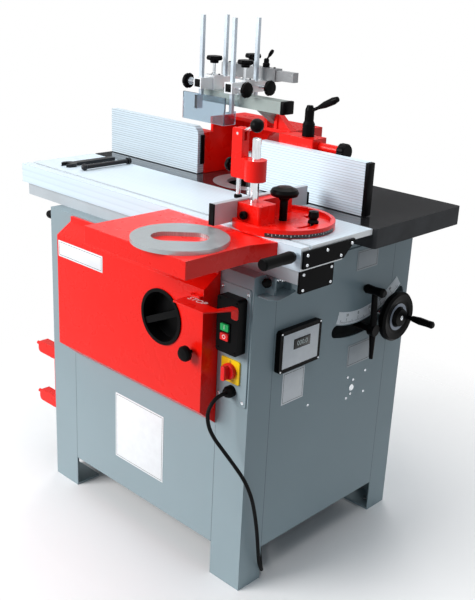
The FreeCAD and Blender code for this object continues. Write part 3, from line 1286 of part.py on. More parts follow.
def tilt_cradle():
    """Cheeks with shoes on the arc rails, the quill sleeve between them and the lift screw's bearing."""
    parts = []
    reach = GUIDE_OFFSET + GUIDE_THICK / 2
    web_out = reach + CHEEK_GAP
    inner = GUIDE_R - GUIDE_WIDTH / 2 - GUIDE_GAP
    outer = GUIDE_R + GUIDE_WIDTH / 2 + GUIDE_GAP
    for side in (-1, 1):
        near = SPINDLE_X + side * web_out
        far = SPINDLE_X + side * (web_out + CHEEK_THICK)
        x0, x1 = sorted((near, far))
        cheek = prism_x([(CHEEK_FRONT, CHEEK_LOW), (CHEEK_REAR, CHEEK_LOW + GUIDE_POST),
            (CHEEK_REAR, CHEEK_KNEE), (SPINDLE_Y + CHEEK_HALF, CHEEK_TOP),
            (SPINDLE_Y - CHEEK_HALF, CHEEK_TOP), (CHEEK_FRONT, CHEEK_KNEE)], x0, x1, 12.0)
        s0, s1 = sorted((SPINDLE_X + side * (reach - GUIDE_THICK), near))
        low_shoe = ring_sector(
            SPINDLE_Y, TABLE_TOP, outer, outer + SHOE_DEPTH, s0, s1, -SHOE_HALF_DEG, SHOE_HALF_DEG)
        top_shoe = ring_sector(
            SPINDLE_Y, TABLE_TOP, inner - SHOE_DEPTH, inner, s0, s1, -SHOE_HALF_DEG, SHOE_HALF_DEG)
        parts += [cheek, low_shoe, top_shoe]
    web_top = TABLE_TOP - outer - SHOE_DEPTH / 2
    web = box(
        SPINDLE_X - web_out, SPINDLE_X + web_out, SPINDLE_Y - WEB_HALF, SPINDLE_Y + WEB_HALF,
        SLEEVE_LOW + 5, web_top)
    sleeve = rod_z(SPINDLE_X, SPINDLE_Y, SLEEVE_R, SLEEVE_LOW, SLEEVE_TOP)
    shelf = box(SCREW_X - BEVEL_R, SPINDLE_X + web_out, WHEEL_Y - GUIDE_POST, WHEEL_Y + GUIDE_POST,
        SHELF_LOW, SHELF_LOW + PLATE_THICK)
    body = fused(sleeve, web, shelf, *parts)
    body = body.cut(rod_z(SPINDLE_X, SPINDLE_Y, QUILL_R + QUILL_FIT, SLEEVE_LOW - 1, SLEEVE_TOP + 1))
    body = body.cut(
        rod_z(SCREW_X, WHEEL_Y, SCREW_JOURNAL_R + SHAFT_FIT, SHELF_LOW - 1, SHELF_LOW + PLATE_THICK + 1))
    x0 = SPINDLE_X + web_out - 1
    x1 = x0 + CHEEK_THICK + 2
    body = body.cut(rod_x(WHEEL_Y, WHEEL_Z, WHEEL_SHAFT_R + SHAFT_FIT, x0, x1))
    return body.cut(rod_x(LEVER_Y, LEVER_Z, LEVER_STUD_R + SHAFT_FIT, x0, x1))


def pulley_pair(first_r, second_r, z0, z1):
    """Solid under a belt that runs round the spindle and motor pulleys."""
    lean = math.asin((second_r - first_r) / MOTOR_PITCH)
    c = math.cos(lean)
    s = math.sin(lean)
    corners = [
        Vector(SPINDLE_X + first_r * c, SPINDLE_Y + first_r * s, z0),
        Vector(SPINDLE_X - first_r * c, SPINDLE_Y + first_r * s, z0),
        Vector(SPINDLE_X - second_r * c, MOTOR_Y + second_r * s, z0),
        Vector(SPINDLE_X + second_r * c, MOTOR_Y + second_r * s, z0)]
    far = Vector(SPINDLE_X, SPINDLE_Y + first_r, z0)
    near = Vector(SPINDLE_X, MOTOR_Y - second_r, z0)
    edges = [
        Part.Arc(corners[0], far, corners[1]).toShape(),
        Part.LineSegment(corners[1], corners[2]).toShape(),
        Part.Arc(corners[2], near, corners[3]).toShape(),
        Part.LineSegment(corners[3], corners[0]).toShape()]
    return Part.Face(Part.Wire(edges)).extrude(Vector(0, 0, z1 - z0))


def quill():
    """Quill tube with its motor plate, lift bracket and nut, and the two spindle bearings."""
    plate_top = QUILL_LOW + PLATE_THICK
    tube = rod_z(SPINDLE_X, SPINDLE_Y, QUILL_R, QUILL_LOW, QUILL_TOP)
    plate = pulley_pair(QUILL_R + PLATE_THICK, MOTOR_R + PLATE_THICK / 2, QUILL_LOW, plate_top)
    half = PLATE_THICK
    tongue = box(SCREW_X - half, SCREW_X + half, SPINDLE_Y, NUT_FRONT, QUILL_LOW, plate_top)
    tongue = fused(
        tongue, box(SPINDLE_X, SCREW_X + half, SPINDLE_Y, SPINDLE_Y + QUILL_R, QUILL_LOW, plate_top))
    bar = box(
        SCREW_X - half, SCREW_X + half, NUT_FRONT - PLATE_THICK, NUT_FRONT, QUILL_LOW, NUT_Z + NUT_HEIGHT)
    nut = box(
        SCREW_X - half, SCREW_X + half, NUT_FRONT - 1, WHEEL_Y + PLATE_THICK, NUT_Z, NUT_Z + NUT_HEIGHT)
    body = fused(tube, plate, tongue, bar, nut)
    for place in spacer_places():
        body = fused(body, rod_z(place.x, place.y, SPACER_R, MOTOR_TOP, QUILL_LOW + 1))
    body = body.cut(rod_z(SPINDLE_X, SPINDLE_Y, BEARING_R, QUILL_LOW - 1, QUILL_TOP + 1))
    body = body.cut(rod_z(SCREW_X, WHEEL_Y, SCREW_R + SHAFT_FIT, NUT_Z - 1, NUT_Z + NUT_HEIGHT + 1))
    bearings = []
    for low in (QUILL_LOW + 2, QUILL_TOP - 2 - BEARING_HEIGHT):
        race = rod_z(SPINDLE_X, SPINDLE_Y, BEARING_R, low, low + BEARING_HEIGHT)
        bearings.append(race.cut(
            rod_z(SPINDLE_X, SPINDLE_Y, SPINDLE_BODY_R + SHAFT_FIT, low - 1, low + BEARING_HEIGHT + 1)))
    return [body] + bearings


def spacer_places():
    """Middles of the spacers between the motor and its plate."""
    return [Vector(SPINDLE_X + SPACER_AT * math.cos(math.radians(deg)),
        MOTOR_Y + SPACER_AT * math.sin(math.radians(deg)), 0) for deg in (0, 180, 270)]


def spindle():
    """Spindle with its pulley, tool collar and nose."""
    top = PULLEY_Z + PULLEY_HEIGHT
    collar = QUILL_TOP + 1
    shaft = turned([(0, PULLEY_Z), (PULLEY_R, PULLEY_Z), (PULLEY_R, top), (SPINDLE_BODY_R, top),
        (SPINDLE_BODY_R, collar), (SPINDLE_COLLAR_R, collar), (SPINDLE_COLLAR_R, collar + 12),
        (SPINDLE_R, collar + 12), (SPINDLE_R, SPINDLE_TOP - 3), (SPINDLE_R - 3, SPINDLE_TOP),
        (0, SPINDLE_TOP)])
    shaft.translate(Vector(SPINDLE_X, SPINDLE_Y, 0))
    return shaft


def motor():
    """Finned motor with its fan cover, and the drive belt above it."""
    low = MOTOR_TOP - MOTOR_LENGTH
    body = turned([
        (0, low), (MOTOR_R * 0.8, low), (MOTOR_R * 0.9, low + 6), (MOTOR_R * 0.9, MOTOR_TOP - 12),
        (MOTOR_R, MOTOR_TOP - 12), (MOTOR_R, MOTOR_TOP), (0, MOTOR_TOP)])
    body.translate(Vector(SPINDLE_X, MOTOR_Y, 0))
    fins = []
    for i in range(MOTOR_FINS):
        fin = box(MOTOR_R * 0.8, MOTOR_R, -1.5, 1.5, low + 44, MOTOR_TOP - 11)
        fin.rotate(Vector(0, 0, 0), Z_AXIS, 360.0 * i / MOTOR_FINS)
        fin.translate(Vector(SPINDLE_X, MOTOR_Y, 0))
        fins.append(fin)
    body = fused(body, *fins)
    return body.cut(
        rod_z(SPINDLE_X, MOTOR_Y, MOTOR_SHAFT_R + SHAFT_FIT, MOTOR_TOP - MOTOR_SHAFT_IN, MOTOR_TOP + 1))


def drive_belt():
    """Flat belt round both pulleys."""
    low = PULLEY_Z + (PULLEY_HEIGHT - BELT_HEIGHT) / 2
    top = low + BELT_HEIGHT
    outer = pulley_pair(
        PULLEY_R + RING_GAP + BELT_THICK, MOTOR_PULLEY_R + RING_GAP + BELT_THICK, low, top)
    return outer.cut(pulley_pair(PULLEY_R + RING_GAP, MOTOR_PULLEY_R + RING_GAP, low - 1, top + 1))


def motor_pulley():
    """Pulley on the motor's shaft."""
    top = PULLEY_Z + PULLEY_HEIGHT
    start = MOTOR_TOP - MOTOR_SHAFT_IN + 1
    wheel = turned([
        (0, start), (MOTOR_SHAFT_R, start), (MOTOR_SHAFT_R, PULLEY_Z), (MOTOR_PULLEY_R, PULLEY_Z),
        (MOTOR_PULLEY_R, top), (0, top)])
    wheel.translate(Vector(SPINDLE_X, MOTOR_Y, 0))
    return wheel


def bevel_cone():
    """Bevel gear blank with its apex at the origin and its back towards -Z."""
    small = BEVEL_R - BEVEL_FACE
    gap = RING_GAP
    return turned(
        [(0, -BEVEL_R - gap), (BEVEL_R, -BEVEL_R - gap), (small, -small - gap), (0, -small - gap)])


def lift_screw():
    """Lift screw with its bevel gear and lower journal."""
    gear = bevel_cone()
    gear.translate(Vector(SCREW_X, WHEEL_Y, WHEEL_Z))
    back = WHEEL_Z - BEVEL_R - RING_GAP
    journal = rod_z(SCREW_X, WHEEL_Y, SCREW_JOURNAL_R, SHELF_LOW, back + 1)
    hub = rod_z(SCREW_X, WHEEL_Y, SCREW_R + 2, SHELF_LOW + PLATE_THICK + RING_GAP, back + 1)
    screw = rod_z(SCREW_X, WHEEL_Y, SCREW_R, back, SCREW_TOP)
    return fused(gear, journal, hub, screw)


def handwheel():
    """Handwheel with its shaft, bevel pinion and turning grip."""
    pinion = aimed(bevel_cone(), Vector(SCREW_X, WHEEL_Y, WHEEL_Z), Vector(-1, 0, 0))
    start = SCREW_X + BEVEL_R
    shaft = rod_x(WHEEL_Y, WHEEL_Z, WHEEL_SHAFT_R, start, WHEEL_X + 2)
    r = WHEEL_R
    d = WHEEL_DEPTH
    rim = r - WHEEL_RIM * 2
    disc = turned([(0, 0), (22, 0), (24, 8), (rim - 6, 10), (rim, 2), (r - 4, 0), (r, 5), (r, d - 12),
        (r - 5, d - 6), (rim, d - 8), (rim - 6, 18), (26, 17), (22, d), (0, d)])
    disc = aimed(disc, Vector(WHEEL_X, WHEEL_Y, WHEEL_Z), X_AXIS)
    a = math.radians(WHEEL_GRIP_DEG)
    place = Vector(
        WHEEL_X + d / 2, WHEEL_Y + WHEEL_GRIP_AT * math.cos(a), WHEEL_Z + WHEEL_GRIP_AT * math.sin(a))
    g = WHEEL_GRIP_R
    length = WHEEL_GRIP + d / 2
    grip = turned([(0, 0), (g * 0.5, 0), (g * 0.5, d / 2 + 2), (g * 0.75, d / 2 + 3), (g, length * 0.5),
        (g * 0.9, length * 0.8), (g * 0.95, length - 4), (g * 0.6, length), (0, length)])
    return fused(pinion, shaft, disc, aimed(grip, place, X_AXIS))


def tilt_lever():
    """Lever on the stud that locks the tilt, with a cross grip at its top."""
    start = SPINDLE_X + GUIDE_OFFSET + GUIDE_THICK / 2 + CHEEK_GAP
    stud = rod_x(LEVER_Y, LEVER_Z, LEVER_STUD_R, start, LEVER_X + 1)
    hub = rod_x(LEVER_Y, LEVER_Z, 15.0, LEVER_X, LEVER_X + 18)
    mid = LEVER_X + 9
    up = Vector(0, -LEVER_LEAN, LEVER_UP)
    down = Vector(0, LEVER_LEAN / 2, -LEVER_DOWN)
    centre = Vector(mid, LEVER_Y, LEVER_Z)
    arm = aimed(Part.makeCone(9, 7, up.Length), centre, up)
    tail = aimed(Part.makeCone(9, 5, down.Length), centre, down)
    g = LEVER_GRIP_R
    half = LEVER_GRIP / 2
    grip = turned([(0, -half), (g * 0.7, -half), (g, -half + 6), (g * 0.85, 0), (g, half - 6),
        (g * 0.7, half), (0, half)])
    return fused(stud, hub, arm, tail, aimed(grip, centre + up, X_AXIS))


# Front cover
def cover_shape(inset):
    """Solid inside the cover's outer faces, drawn in by an inset."""
    lip = COVER_REAR - 3 * COVER_SHEET
    points = [
        Vector(0, COVER_REAR, COVER_LOW), Vector(0, COVER_FRONT, COVER_FACE_LOW),
        Vector(0, COVER_FRONT, COVER_FACE_TOP), Vector(0, lip, COVER_TOP),
        Vector(0, lip, COVER_TOP + COVER_LIP), Vector(0, COVER_REAR, COVER_TOP + COVER_LIP)]
    face = Part.Face(Part.makePolygon(points + points[:1]))
    if inset:
        face = face.makeOffset2D(-inset)
    half = COVER_HALF - inset
    body = face.extrude(Vector(2 * half, 0, 0))
    body.translate(Vector(-half, 0, 0))
    return body


def front_cover():
    """Folded cover with the holes for its fittings, hinge barrels and the flap's lugs."""
    inner = cover_shape(COVER_SHEET)
    behind = inner.copy()
    behind.translate(Vector(0, COVER_SHEET + 1, 0))
    body = cover_shape(0).cut(inner).cut(behind)
    body = body.cut(rod_y(
        GRIP_X, GRIP_Z, GRIP_R - GRIP_RIM + GRIP_GAP, COVER_FRONT - 1, COVER_FRONT + COVER_SHEET + 1))
    body = body.cut(
        rod_y(KNOB_X, KNOB_Z, STEM_R + SHAFT_FIT, COVER_FRONT - 1, COVER_FRONT + COVER_SHEET + 1))
    for level in HINGE_LEVELS:
        barrel = rod_z(HINGE_X, HINGE_LINE_Y, HINGE_PIN_R, level + EAR_GAP, level + HINGE_LENGTH)
        tab = box(HINGE_X, -COVER_HALF + 1, HINGE_LINE_Y - 2, HINGE_LINE_Y + 2, level + EAR_GAP,
            level + HINGE_LENGTH)
        body = fused(body, barrel, tab)
    for level in HINGE_LEVELS:
        body = body.cut(
            rod_z(HINGE_X, HINGE_LINE_Y, HINGE_PIN_R / 2 + SHAFT_FIT, level, level + HINGE_LENGTH + 1))
    lug = FLAP_HINGE_R + 1
    for x in (FLAP_BARREL_LEFT - EAR_GAP - lug, FLAP_BARREL_RIGHT + EAR_GAP):
        body = fused(body, box(x, x + lug, FLAP_Y - FLAP_HINGE_R, COVER_FRONT + 1,
            FLAP_Z - FLAP_HINGE_R, FLAP_Z + FLAP_HINGE_R))
    pin = rod_x(FLAP_Y, FLAP_Z, FLAP_HINGE_R / 2, FLAP_BARREL_LEFT - EAR_GAP - lug,
        FLAP_BARREL_RIGHT + EAR_GAP + lug)
    return fused(body, pin)


def cover_hinges():
    """Fixed hinge halves on the left front post."""
    parts = []
    for level in HINGE_LEVELS:
        knuckle = rod_z(HINGE_X, HINGE_LINE_Y, HINGE_PIN_R, level - HINGE_LENGTH, level)
        leaf = box(
            HINGE_X - HINGE_LEAF, HINGE_X, PANEL_FACE - SHEET, PANEL_FACE, level - HINGE_LENGTH, level)
        pin = rod_z(HINGE_X, HINGE_LINE_Y, HINGE_PIN_R / 2, level - 1, level + HINGE_LENGTH)
        parts.append(fused(knuckle, leaf, pin))
    return parts


def cover_grip():
    """Recessed turn grip: a dish with a rim and a bar across it."""
    flange = COVER_FRONT - GRIP_GAP
    bottom = COVER_FRONT + GRIP_DEPTH
    cup = GRIP_R - GRIP_RIM
    dish = rod_y(GRIP_X, GRIP_Z, GRIP_R, flange - GRIP_WALL, flange)
    dish = fused(dish, rod_y(GRIP_X, GRIP_Z, cup, flange - 1, bottom))
    dish = dish.cut(rod_y(GRIP_X, GRIP_Z, cup - GRIP_WALL, flange - GRIP_WALL - 1, bottom - GRIP_WALL))
    bar = box(-cup + 1, cup - 1, flange, bottom - GRIP_WALL - GRIP_BAR / 2, -GRIP_BAR / 2, GRIP_BAR / 2)
    bar.rotate(Vector(0, 0, 0), Y_AXIS, -GRIP_BAR_DEG)
    bar.translate(Vector(GRIP_X, 0, GRIP_Z))
    return fused(dish, bar)


def cover_knob():
    """Round knob that closes the cover."""
    knob = turned([(0, -COVER_SHEET - 4), (STEM_R, -COVER_SHEET - 4), (STEM_R, KNOB_STEM),
        (KNOB_R * 0.6, KNOB_STEM), (KNOB_R, KNOB_STEM + 6), (KNOB_R, KNOB_STEM + 14),
        (KNOB_R * 0.8, KNOB_STEM + 19), (0, KNOB_STEM + 20)])
    return aimed(knob, Vector(KNOB_X, COVER_FRONT, KNOB_Z), Vector(0, -1, 0))


def stop_flap():
    """Stop plate hinged on the cover, with an arm that ends in front of the switch."""
    low = FLAP_Z - FLAP_SHEET / 2
    top = FLAP_Z + FLAP_SHEET / 2
    half = FLAP_ARM / 2
    barrel = rod_x(FLAP_Y, FLAP_Z, FLAP_HINGE_R, FLAP_BARREL_LEFT, FLAP_BARREL_RIGHT)
    plate = prism_z([(FLAP_BARREL_LEFT, FLAP_Y), (FLAP_BARREL_LEFT, FLAP_Y - 2 * FLAP_HINGE_R),
        (FLAP_LEFT, FLAP_Y - 3 * FLAP_HINGE_R), (FLAP_LEFT, FLAP_FRONT), (FLAP_RIGHT, FLAP_FRONT),
        (FLAP_TAB_X + half, FLAP_TAB_Y - FLAP_ARM), (FLAP_TAB_X + half, FLAP_TAB_Y),
        (FLAP_TAB_X - half, FLAP_TAB_Y), (FLAP_TAB_X - FLAP_ARM, FLAP_TAB_Y - 2 * FLAP_ARM),
        (FLAP_BARREL_RIGHT, FLAP_Y - FLAP_ARM), (FLAP_BARREL_RIGHT, FLAP_Y)], low, top, 3.0)
    tab = prism_y([(FLAP_TAB_X - half, FLAP_Z), (FLAP_TAB_X + half, FLAP_Z),
        (FLAP_TAB_X + half, top - FLAP_TAB_DROP), (FLAP_TAB_X - half, top - FLAP_TAB_DROP)],
        FLAP_TAB_Y - FLAP_SHEET, FLAP_TAB_Y, 4.0)
    body = fused(barrel, plate, tab)
    return body.cut(
        rod_x(FLAP_Y, FLAP_Z, FLAP_HINGE_R / 2 + SHAFT_FIT, FLAP_BARREL_LEFT - 1, FLAP_BARREL_RIGHT + 1))


# Switch gear
def switch_plate():
    """Cover plate on the right front post, and the isolator's square escutcheon."""
    plate = block_y(SWITCH_PLATE_X, SWITCH_PLATE_Z, SWITCH_PLATE_WIDTH, SWITCH_PLATE_HEIGHT,
        SWITCH_FACE, PANEL_FACE, 6.0)
    escutcheon = block_y(
        ISOLATOR_X, ISOLATOR_Z, ISOLATOR_SIZE, ISOLATOR_SIZE, ISOLATOR_FACE, SWITCH_FACE, 3.0)
    bore = rod_y(ISOLATOR_X, ISOLATOR_Z, ISOLATOR_STEM_R + SHAFT_FIT, ISOLATOR_FACE - 1, SWITCH_FACE)
    return [plate, escutcheon.cut(bore)]


def switch_box():
    """Start and stop switch case with its two button wells, and the cord gland below."""
    face = SWITCH_FACE - SWITCH_DEPTH
    case = block_y(SWITCH_X, SWITCH_Z, SWITCH_WIDTH, SWITCH_HEIGHT, face, SWITCH_FACE, 7.0)
    for level in (START_Z, STOP_Z):
        w = BUTTON_WIDTH / 2 + BUTTON_GAP
        h = BUTTON_HEIGHT / 2 + BUTTON_GAP
        well = box(SWITCH_PLATE_X - w, SWITCH_PLATE_X + w, face - 1, face + BUTTON_DEPTH + BUTTON_PROUD,
            level - h, level + h)
        case = case.cut(well)
    nut = turned([
        (0, 0), (GLAND_R, 0), (GLAND_R, GLAND_LENGTH * 0.6), (GLAND_R * 0.7, GLAND_LENGTH),
        (0, GLAND_LENGTH)])
    gland = aimed(nut, Vector(GLAND_X, SWITCH_FACE, GLAND_Z), Vector(0, -1, 0))
    return [case, gland]


def push_button(level):
    """Rectangular push button."""
    face = SWITCH_FACE - SWITCH_DEPTH
    return block_y(
        SWITCH_PLATE_X, level, BUTTON_WIDTH, BUTTON_HEIGHT, face - BUTTON_PROUD, face + BUTTON_DEPTH, 2.0)


def isolator_knob():
    """Rotary isolator knob with a raised grip bar."""
    seat = ISOLATOR_FACE - RING_GAP
    r = ISOLATOR_KNOB_R
    base = turned([(0, -ISOLATOR_PLATE + 1), (ISOLATOR_STEM_R, -ISOLATOR_PLATE + 1), (ISOLATOR_STEM_R, 0),
        (r, 0), (r, 8), (r * 0.9, 10), (0, 10)])
    base = aimed(base, Vector(ISOLATOR_X, seat, ISOLATOR_Z), Vector(0, -1, 0))
    grip = block_y(ISOLATOR_X, ISOLATOR_Z, r * 0.6, r * 1.8, seat - ISOLATOR_KNOB, seat - 9, 3.0)
    return fused(base, grip)


# Side pieces
def readout():
    """Case of the height readout."""
    y0 = READOUT_Y - READOUT_WIDTH / 2
    y1 = READOUT_Y + READOUT_WIDTH / 2
    z0 = READOUT_Z - READOUT_HEIGHT / 2
    z1 = READOUT_Z + READOUT_HEIGHT / 2
    return prism_x([(y0, z0), (y1, z0), (y1, z1), (y0, z1)], HALF_W, HALF_W + READOUT_DEPTH, 8.0)


def side_bracket():
    """Two round-ended lugs with pins on the left side, joined by a strap."""
    y0 = LUG_Y - LUG_DEPTH / 2
    y1 = LUG_Y + LUG_DEPTH / 2
    half = LUG_HEIGHT / 2
    body = box(-HALF_W - LUG_STRAP, -HALF_W, y0, y1, min(LUG_Z) - half, max(LUG_Z) + half)
    tip = -HALF_W - LUG_REACH
    for level in LUG_Z:
        low = level - half
        top = level + half
        lug = prism_y([(-HALF_W, low), (-HALF_W, top), (tip, top), (tip, low)], y0, y1, LUG_CORNER_R)
        pin = rod_x(LUG_Y, level, LUG_PIN_R, tip - LUG_PIN, tip + LUG_PIN)
        body = fused(body, lug, pin)
    return body


def lock_bracket():
    """Ledge on the cabinet's side with two upright guides for the table lock."""
    low = LOCK_Z - LOCK_DROP
    top = LOCK_Z + LOCK_RISE
    front = LOCK_FRONT - LEDGE_OUT
    reach = HALF_W + LEDGE_REACH
    ledge = prism_z([
        (HALF_W, front), (reach - LEDGE_CORNER, front), (reach, front + LEDGE_CORNER),
        (reach - LEDGE_CORNER, LOCK_REAR), (HALF_W, LOCK_REAR + LEDGE_CORNER)],
        low, low + LOCK_BASE, LOCK_PLATE)
    parts = [ledge, box(HALF_W, HALF_W + LOCK_BASE, LOCK_FRONT, LOCK_REAR, low, top)]
    for y in (LOCK_FRONT, LOCK_REAR - LOCK_PLATE):
        parts.append(box(HALF_W, LOCK_X + LOCK_BALL_R, y, y + LOCK_PLATE, low, top))
    body = fused(*parts)
    return body.cut(rod_y(LOCK_X, LOCK_Z, LOCK_ROD_R + LOCK_FIT, LOCK_FRONT - 1, LOCK_REAR + 1))


def table_lock():
    """Spring plunger with a ball on its front end."""
    length = LOCK_REAR - LOCK_FRONT + LOCK_GAP
    plunger = turned(ball_profile(LOCK_BALL_R, length + LOCK_BALL_R, 0, LOCK_ROD_R))
    plunger = aimed(plunger, Vector(LOCK_X, LOCK_REAR, LOCK_Z), Vector(0, -1, 0))
    seat = LOCK_FRONT + LOCK_PLATE + LOCK_TRAVEL + RING_GAP
    collar = rod_y(LOCK_X, LOCK_Z, LOCK_ROD_R + 2, seat, seat + LOCK_PLATE / 2)
    return fused(plunger, collar)


def lock_spring():
    """Coil spring between the plunger's collar and the rear plate of its bracket."""
    start = LOCK_FRONT + LOCK_PLATE + LOCK_TRAVEL + LOCK_PLATE / 2 + SPRING_WIRE_R + 2 * RING_GAP

    def place(turns):
        a = 2 * math.pi * turns
        return Vector(LOCK_X + SPRING_R * math.cos(
            a), start + SPRING_PITCH * turns, LOCK_Z + SPRING_R * math.sin(a))
    return wound_tube(place, SPRING_TURNS, SPRING_WIRE_R, "spring")


# Mains lead
def cord_path(points):
    """Straight runs joined by tangent arcs, with each arc as wide as its shorter run allows."""
    edges = []
    start = points[0]
    radii = []
    for i in range(1, len(points) - 1):
        back = points[i - 1] - points[i]
        ahead = points[i + 1] - points[i]
        half = back.getAngle(ahead) / 2
        reach = 0.45 * min(back.Length, ahead.Length)
        into = points[i] + Vector(back).normalize() * reach
        out = points[i] + Vector(ahead).normalize() * reach
        radius = reach * math.tan(half)
        radii.append(radius)
        middle = (Vector(back).normalize() + Vector(ahead).normalize()).normalize()
        peak = points[i] + middle * (radius / math.sin(half) - radius)
        edges.append(Part.LineSegment(start, into).toShape())
        edges.append(Part.Arc(into, peak, out).toShape())
        start = out
    edges.append(Part.LineSegment(start, points[-1]).toShape())
    return Part.Wire(edges), radii


def tube(path, direction, radius, label):
    """Round tube along a smooth path, with its length and volume compared."""
    start = path.Vertexes[0].Point
    ring = Part.Wire([Part.makeCircle(radius, start, direction)])
    solid = path.makePipeShell([ring], True, False)
    expected = math.pi * radius ** 2 * path.Length
    print(label, "length", round(path.Length, 1), "volume ratio", round(solid.Volume / expected, 4))
    return solid


def cord_route():
    """Points of the cord: the bend at the gland, the run beside the post and the run under the cabinet."""
    exit_y = SWITCH_FACE - GLAND_LENGTH
    points = [Vector(GLAND_X, exit_y, GLAND_Z)]
    for i in range(CORD_BEND_STEPS + 1):
        a = math.pi / 2 * i / CORD_BEND_STEPS
        out = CORD_LEAD + CORD_BEND_R * math.sin(a)
        points.append(Vector(GLAND_X, exit_y - out, GLAND_Z - CORD_BEND_R * (1 - math.cos(a))))
    for right, out, share in CORD_HANG:
        points.append(Vector(GLAND_X + right, exit_y - out, GLAND_Z * share))
    for x, y in CORD_FLOOR:
        points.append(Vector(x, y, CORD_R))
    return points


def power_cord():
    """Cord from the gland down to the floor and under the cabinet to the coil."""
    route = cord_route()
    path, radii = cord_path(route)
    print("cord radii", [round(r) for r in radii])
    return tube(path, route[1] - route[0], CORD_R, "cord")


def biarcs(points, tangents):
    """Smooth wire through the points, two arcs for each step."""
    edges = []
    for i in range(len(points) - 1):
        p0 = points[i]
        p1 = points[i + 1]
        t0 = tangents[i]
        t1 = tangents[i + 1]
        v = p1 - p0
        bend = 2 * (1 - t0.dot(t1))
        both = v.dot(t0 + t1)
        if bend < 1e-9:
            d = v.dot(v) / (4 * v.dot(t1))
        else:
            d = (-both + math.sqrt(both ** 2 + bend * v.dot(v))) / bend
        joint = (p0 + p1 + (t0 - t1) * d) * 0.5
        edges.append(tangent_arc(p0, t0, joint))
        middle = tangent_at(p0, t0, joint)
        edges.append(tangent_arc(joint, middle, p1))
    return Part.Wire(edges)


def tangent_at(start, tangent, end):
    """Direction at the end of the arc that leaves a start along a tangent."""
    chord = end - start
    return (chord * (2 * chord.dot(tangent) / chord.dot(chord)) - tangent).normalize()


def tangent_arc(start, tangent, end):
    """Arc that leaves a start along a tangent and reaches an end."""
    leave = tangent_at(start, tangent, end)
    chord = end - start
    turn = tangent.getAngle(leave)
    if turn < 1e-6:
        return Part.LineSegment(start, end).toShape()
    side = (tangent - leave).normalize()
    sag = chord.Length / 2 * math.tan(turn / 4)
    return Part.Arc(start, (start + end) * 0.5 + side * sag, end).toShape()


def wound_tube(place, turns, radius, label, tail=0.0):
    """Tube along a wound route, in quarter turns, with the least gap between its own turns printed."""
    points = []
    tangents = []
    small = 0.001
    for i in range(4 * turns + 1):
        points.append(place(i / 4))
        tangents.append((place(i / 4 + small) - place(i / 4 - small)).normalize())
    path = biarcs(points, tangents)
    if tail:
        straight = Part.LineSegment(points[-1], points[-1] + tangents[-1] * tail).toShape()
        path = Part.Wire(path.Edges + [straight])
    dots = path.discretize(Distance=radius / 2)
    skip = int(8 * math.pi)
    least = min(
        (dots[i] - dots[j]).Length for i in range(len(dots)) for j in range(i + skip, len(dots)))
    print(label, "least gap to itself", round(least - 2 * radius, 2))
    return tube(path, tangents[0], radius, label)


def coil_place(turns):
    """Point on the coil: the lower layer winds inwards, then the upper one winds outwards."""
    a = COIL_START + 2 * math.pi * turns
    from_middle = turns - COIL_TURNS / 2
    layer = min(max(from_middle + 0.5, 0), 1)
    lift = layer * layer * (3 - 2 * layer)
    r = COIL_R + COIL_PITCH * (math.sqrt(from_middle ** 2 + 0.01) - COIL_TURNS / 4)
    return Vector(COIL_X + r * math.cos(a), COIL_Y + r * math.sin(a), CORD_R + COIL_PITCH * lift)


def cord_coil():
    """The spare length of the cord, wound flat on the floor."""
    return wound_tube(coil_place, COIL_TURNS, CORD_R, "coil", COIL_TAIL)


def mains_plug():
    """Round plug on the coil's end."""
    small = 0.001
    way = (coil_place(COIL_TURNS) - coil_place(COIL_TURNS - small)).normalize()
    end = coil_place(COIL_TURNS) + way * COIL_TAIL
    plug = turned([(0, 0), (PLUG_R * 0.45, 0), (PLUG_R * 0.55, 14), (PLUG_R * 0.9, 20), (PLUG_R, 26),
        (PLUG_R, PLUG_LENGTH), (0, PLUG_LENGTH)])
    return aimed(plug, end, way)


def save(name, *solids):
    """Write one node."""
    shape = solids[0] if len(solids) == 1 else Part.makeCompound(list(solids))
    for solid in solids:
        if not solid.isValid() or len(solid.Solids) != 1:
            print("check", name, "solids", len(solid.Solids), "valid", solid.isValid())
    shape.exportStep("parts/" + name + ".step")


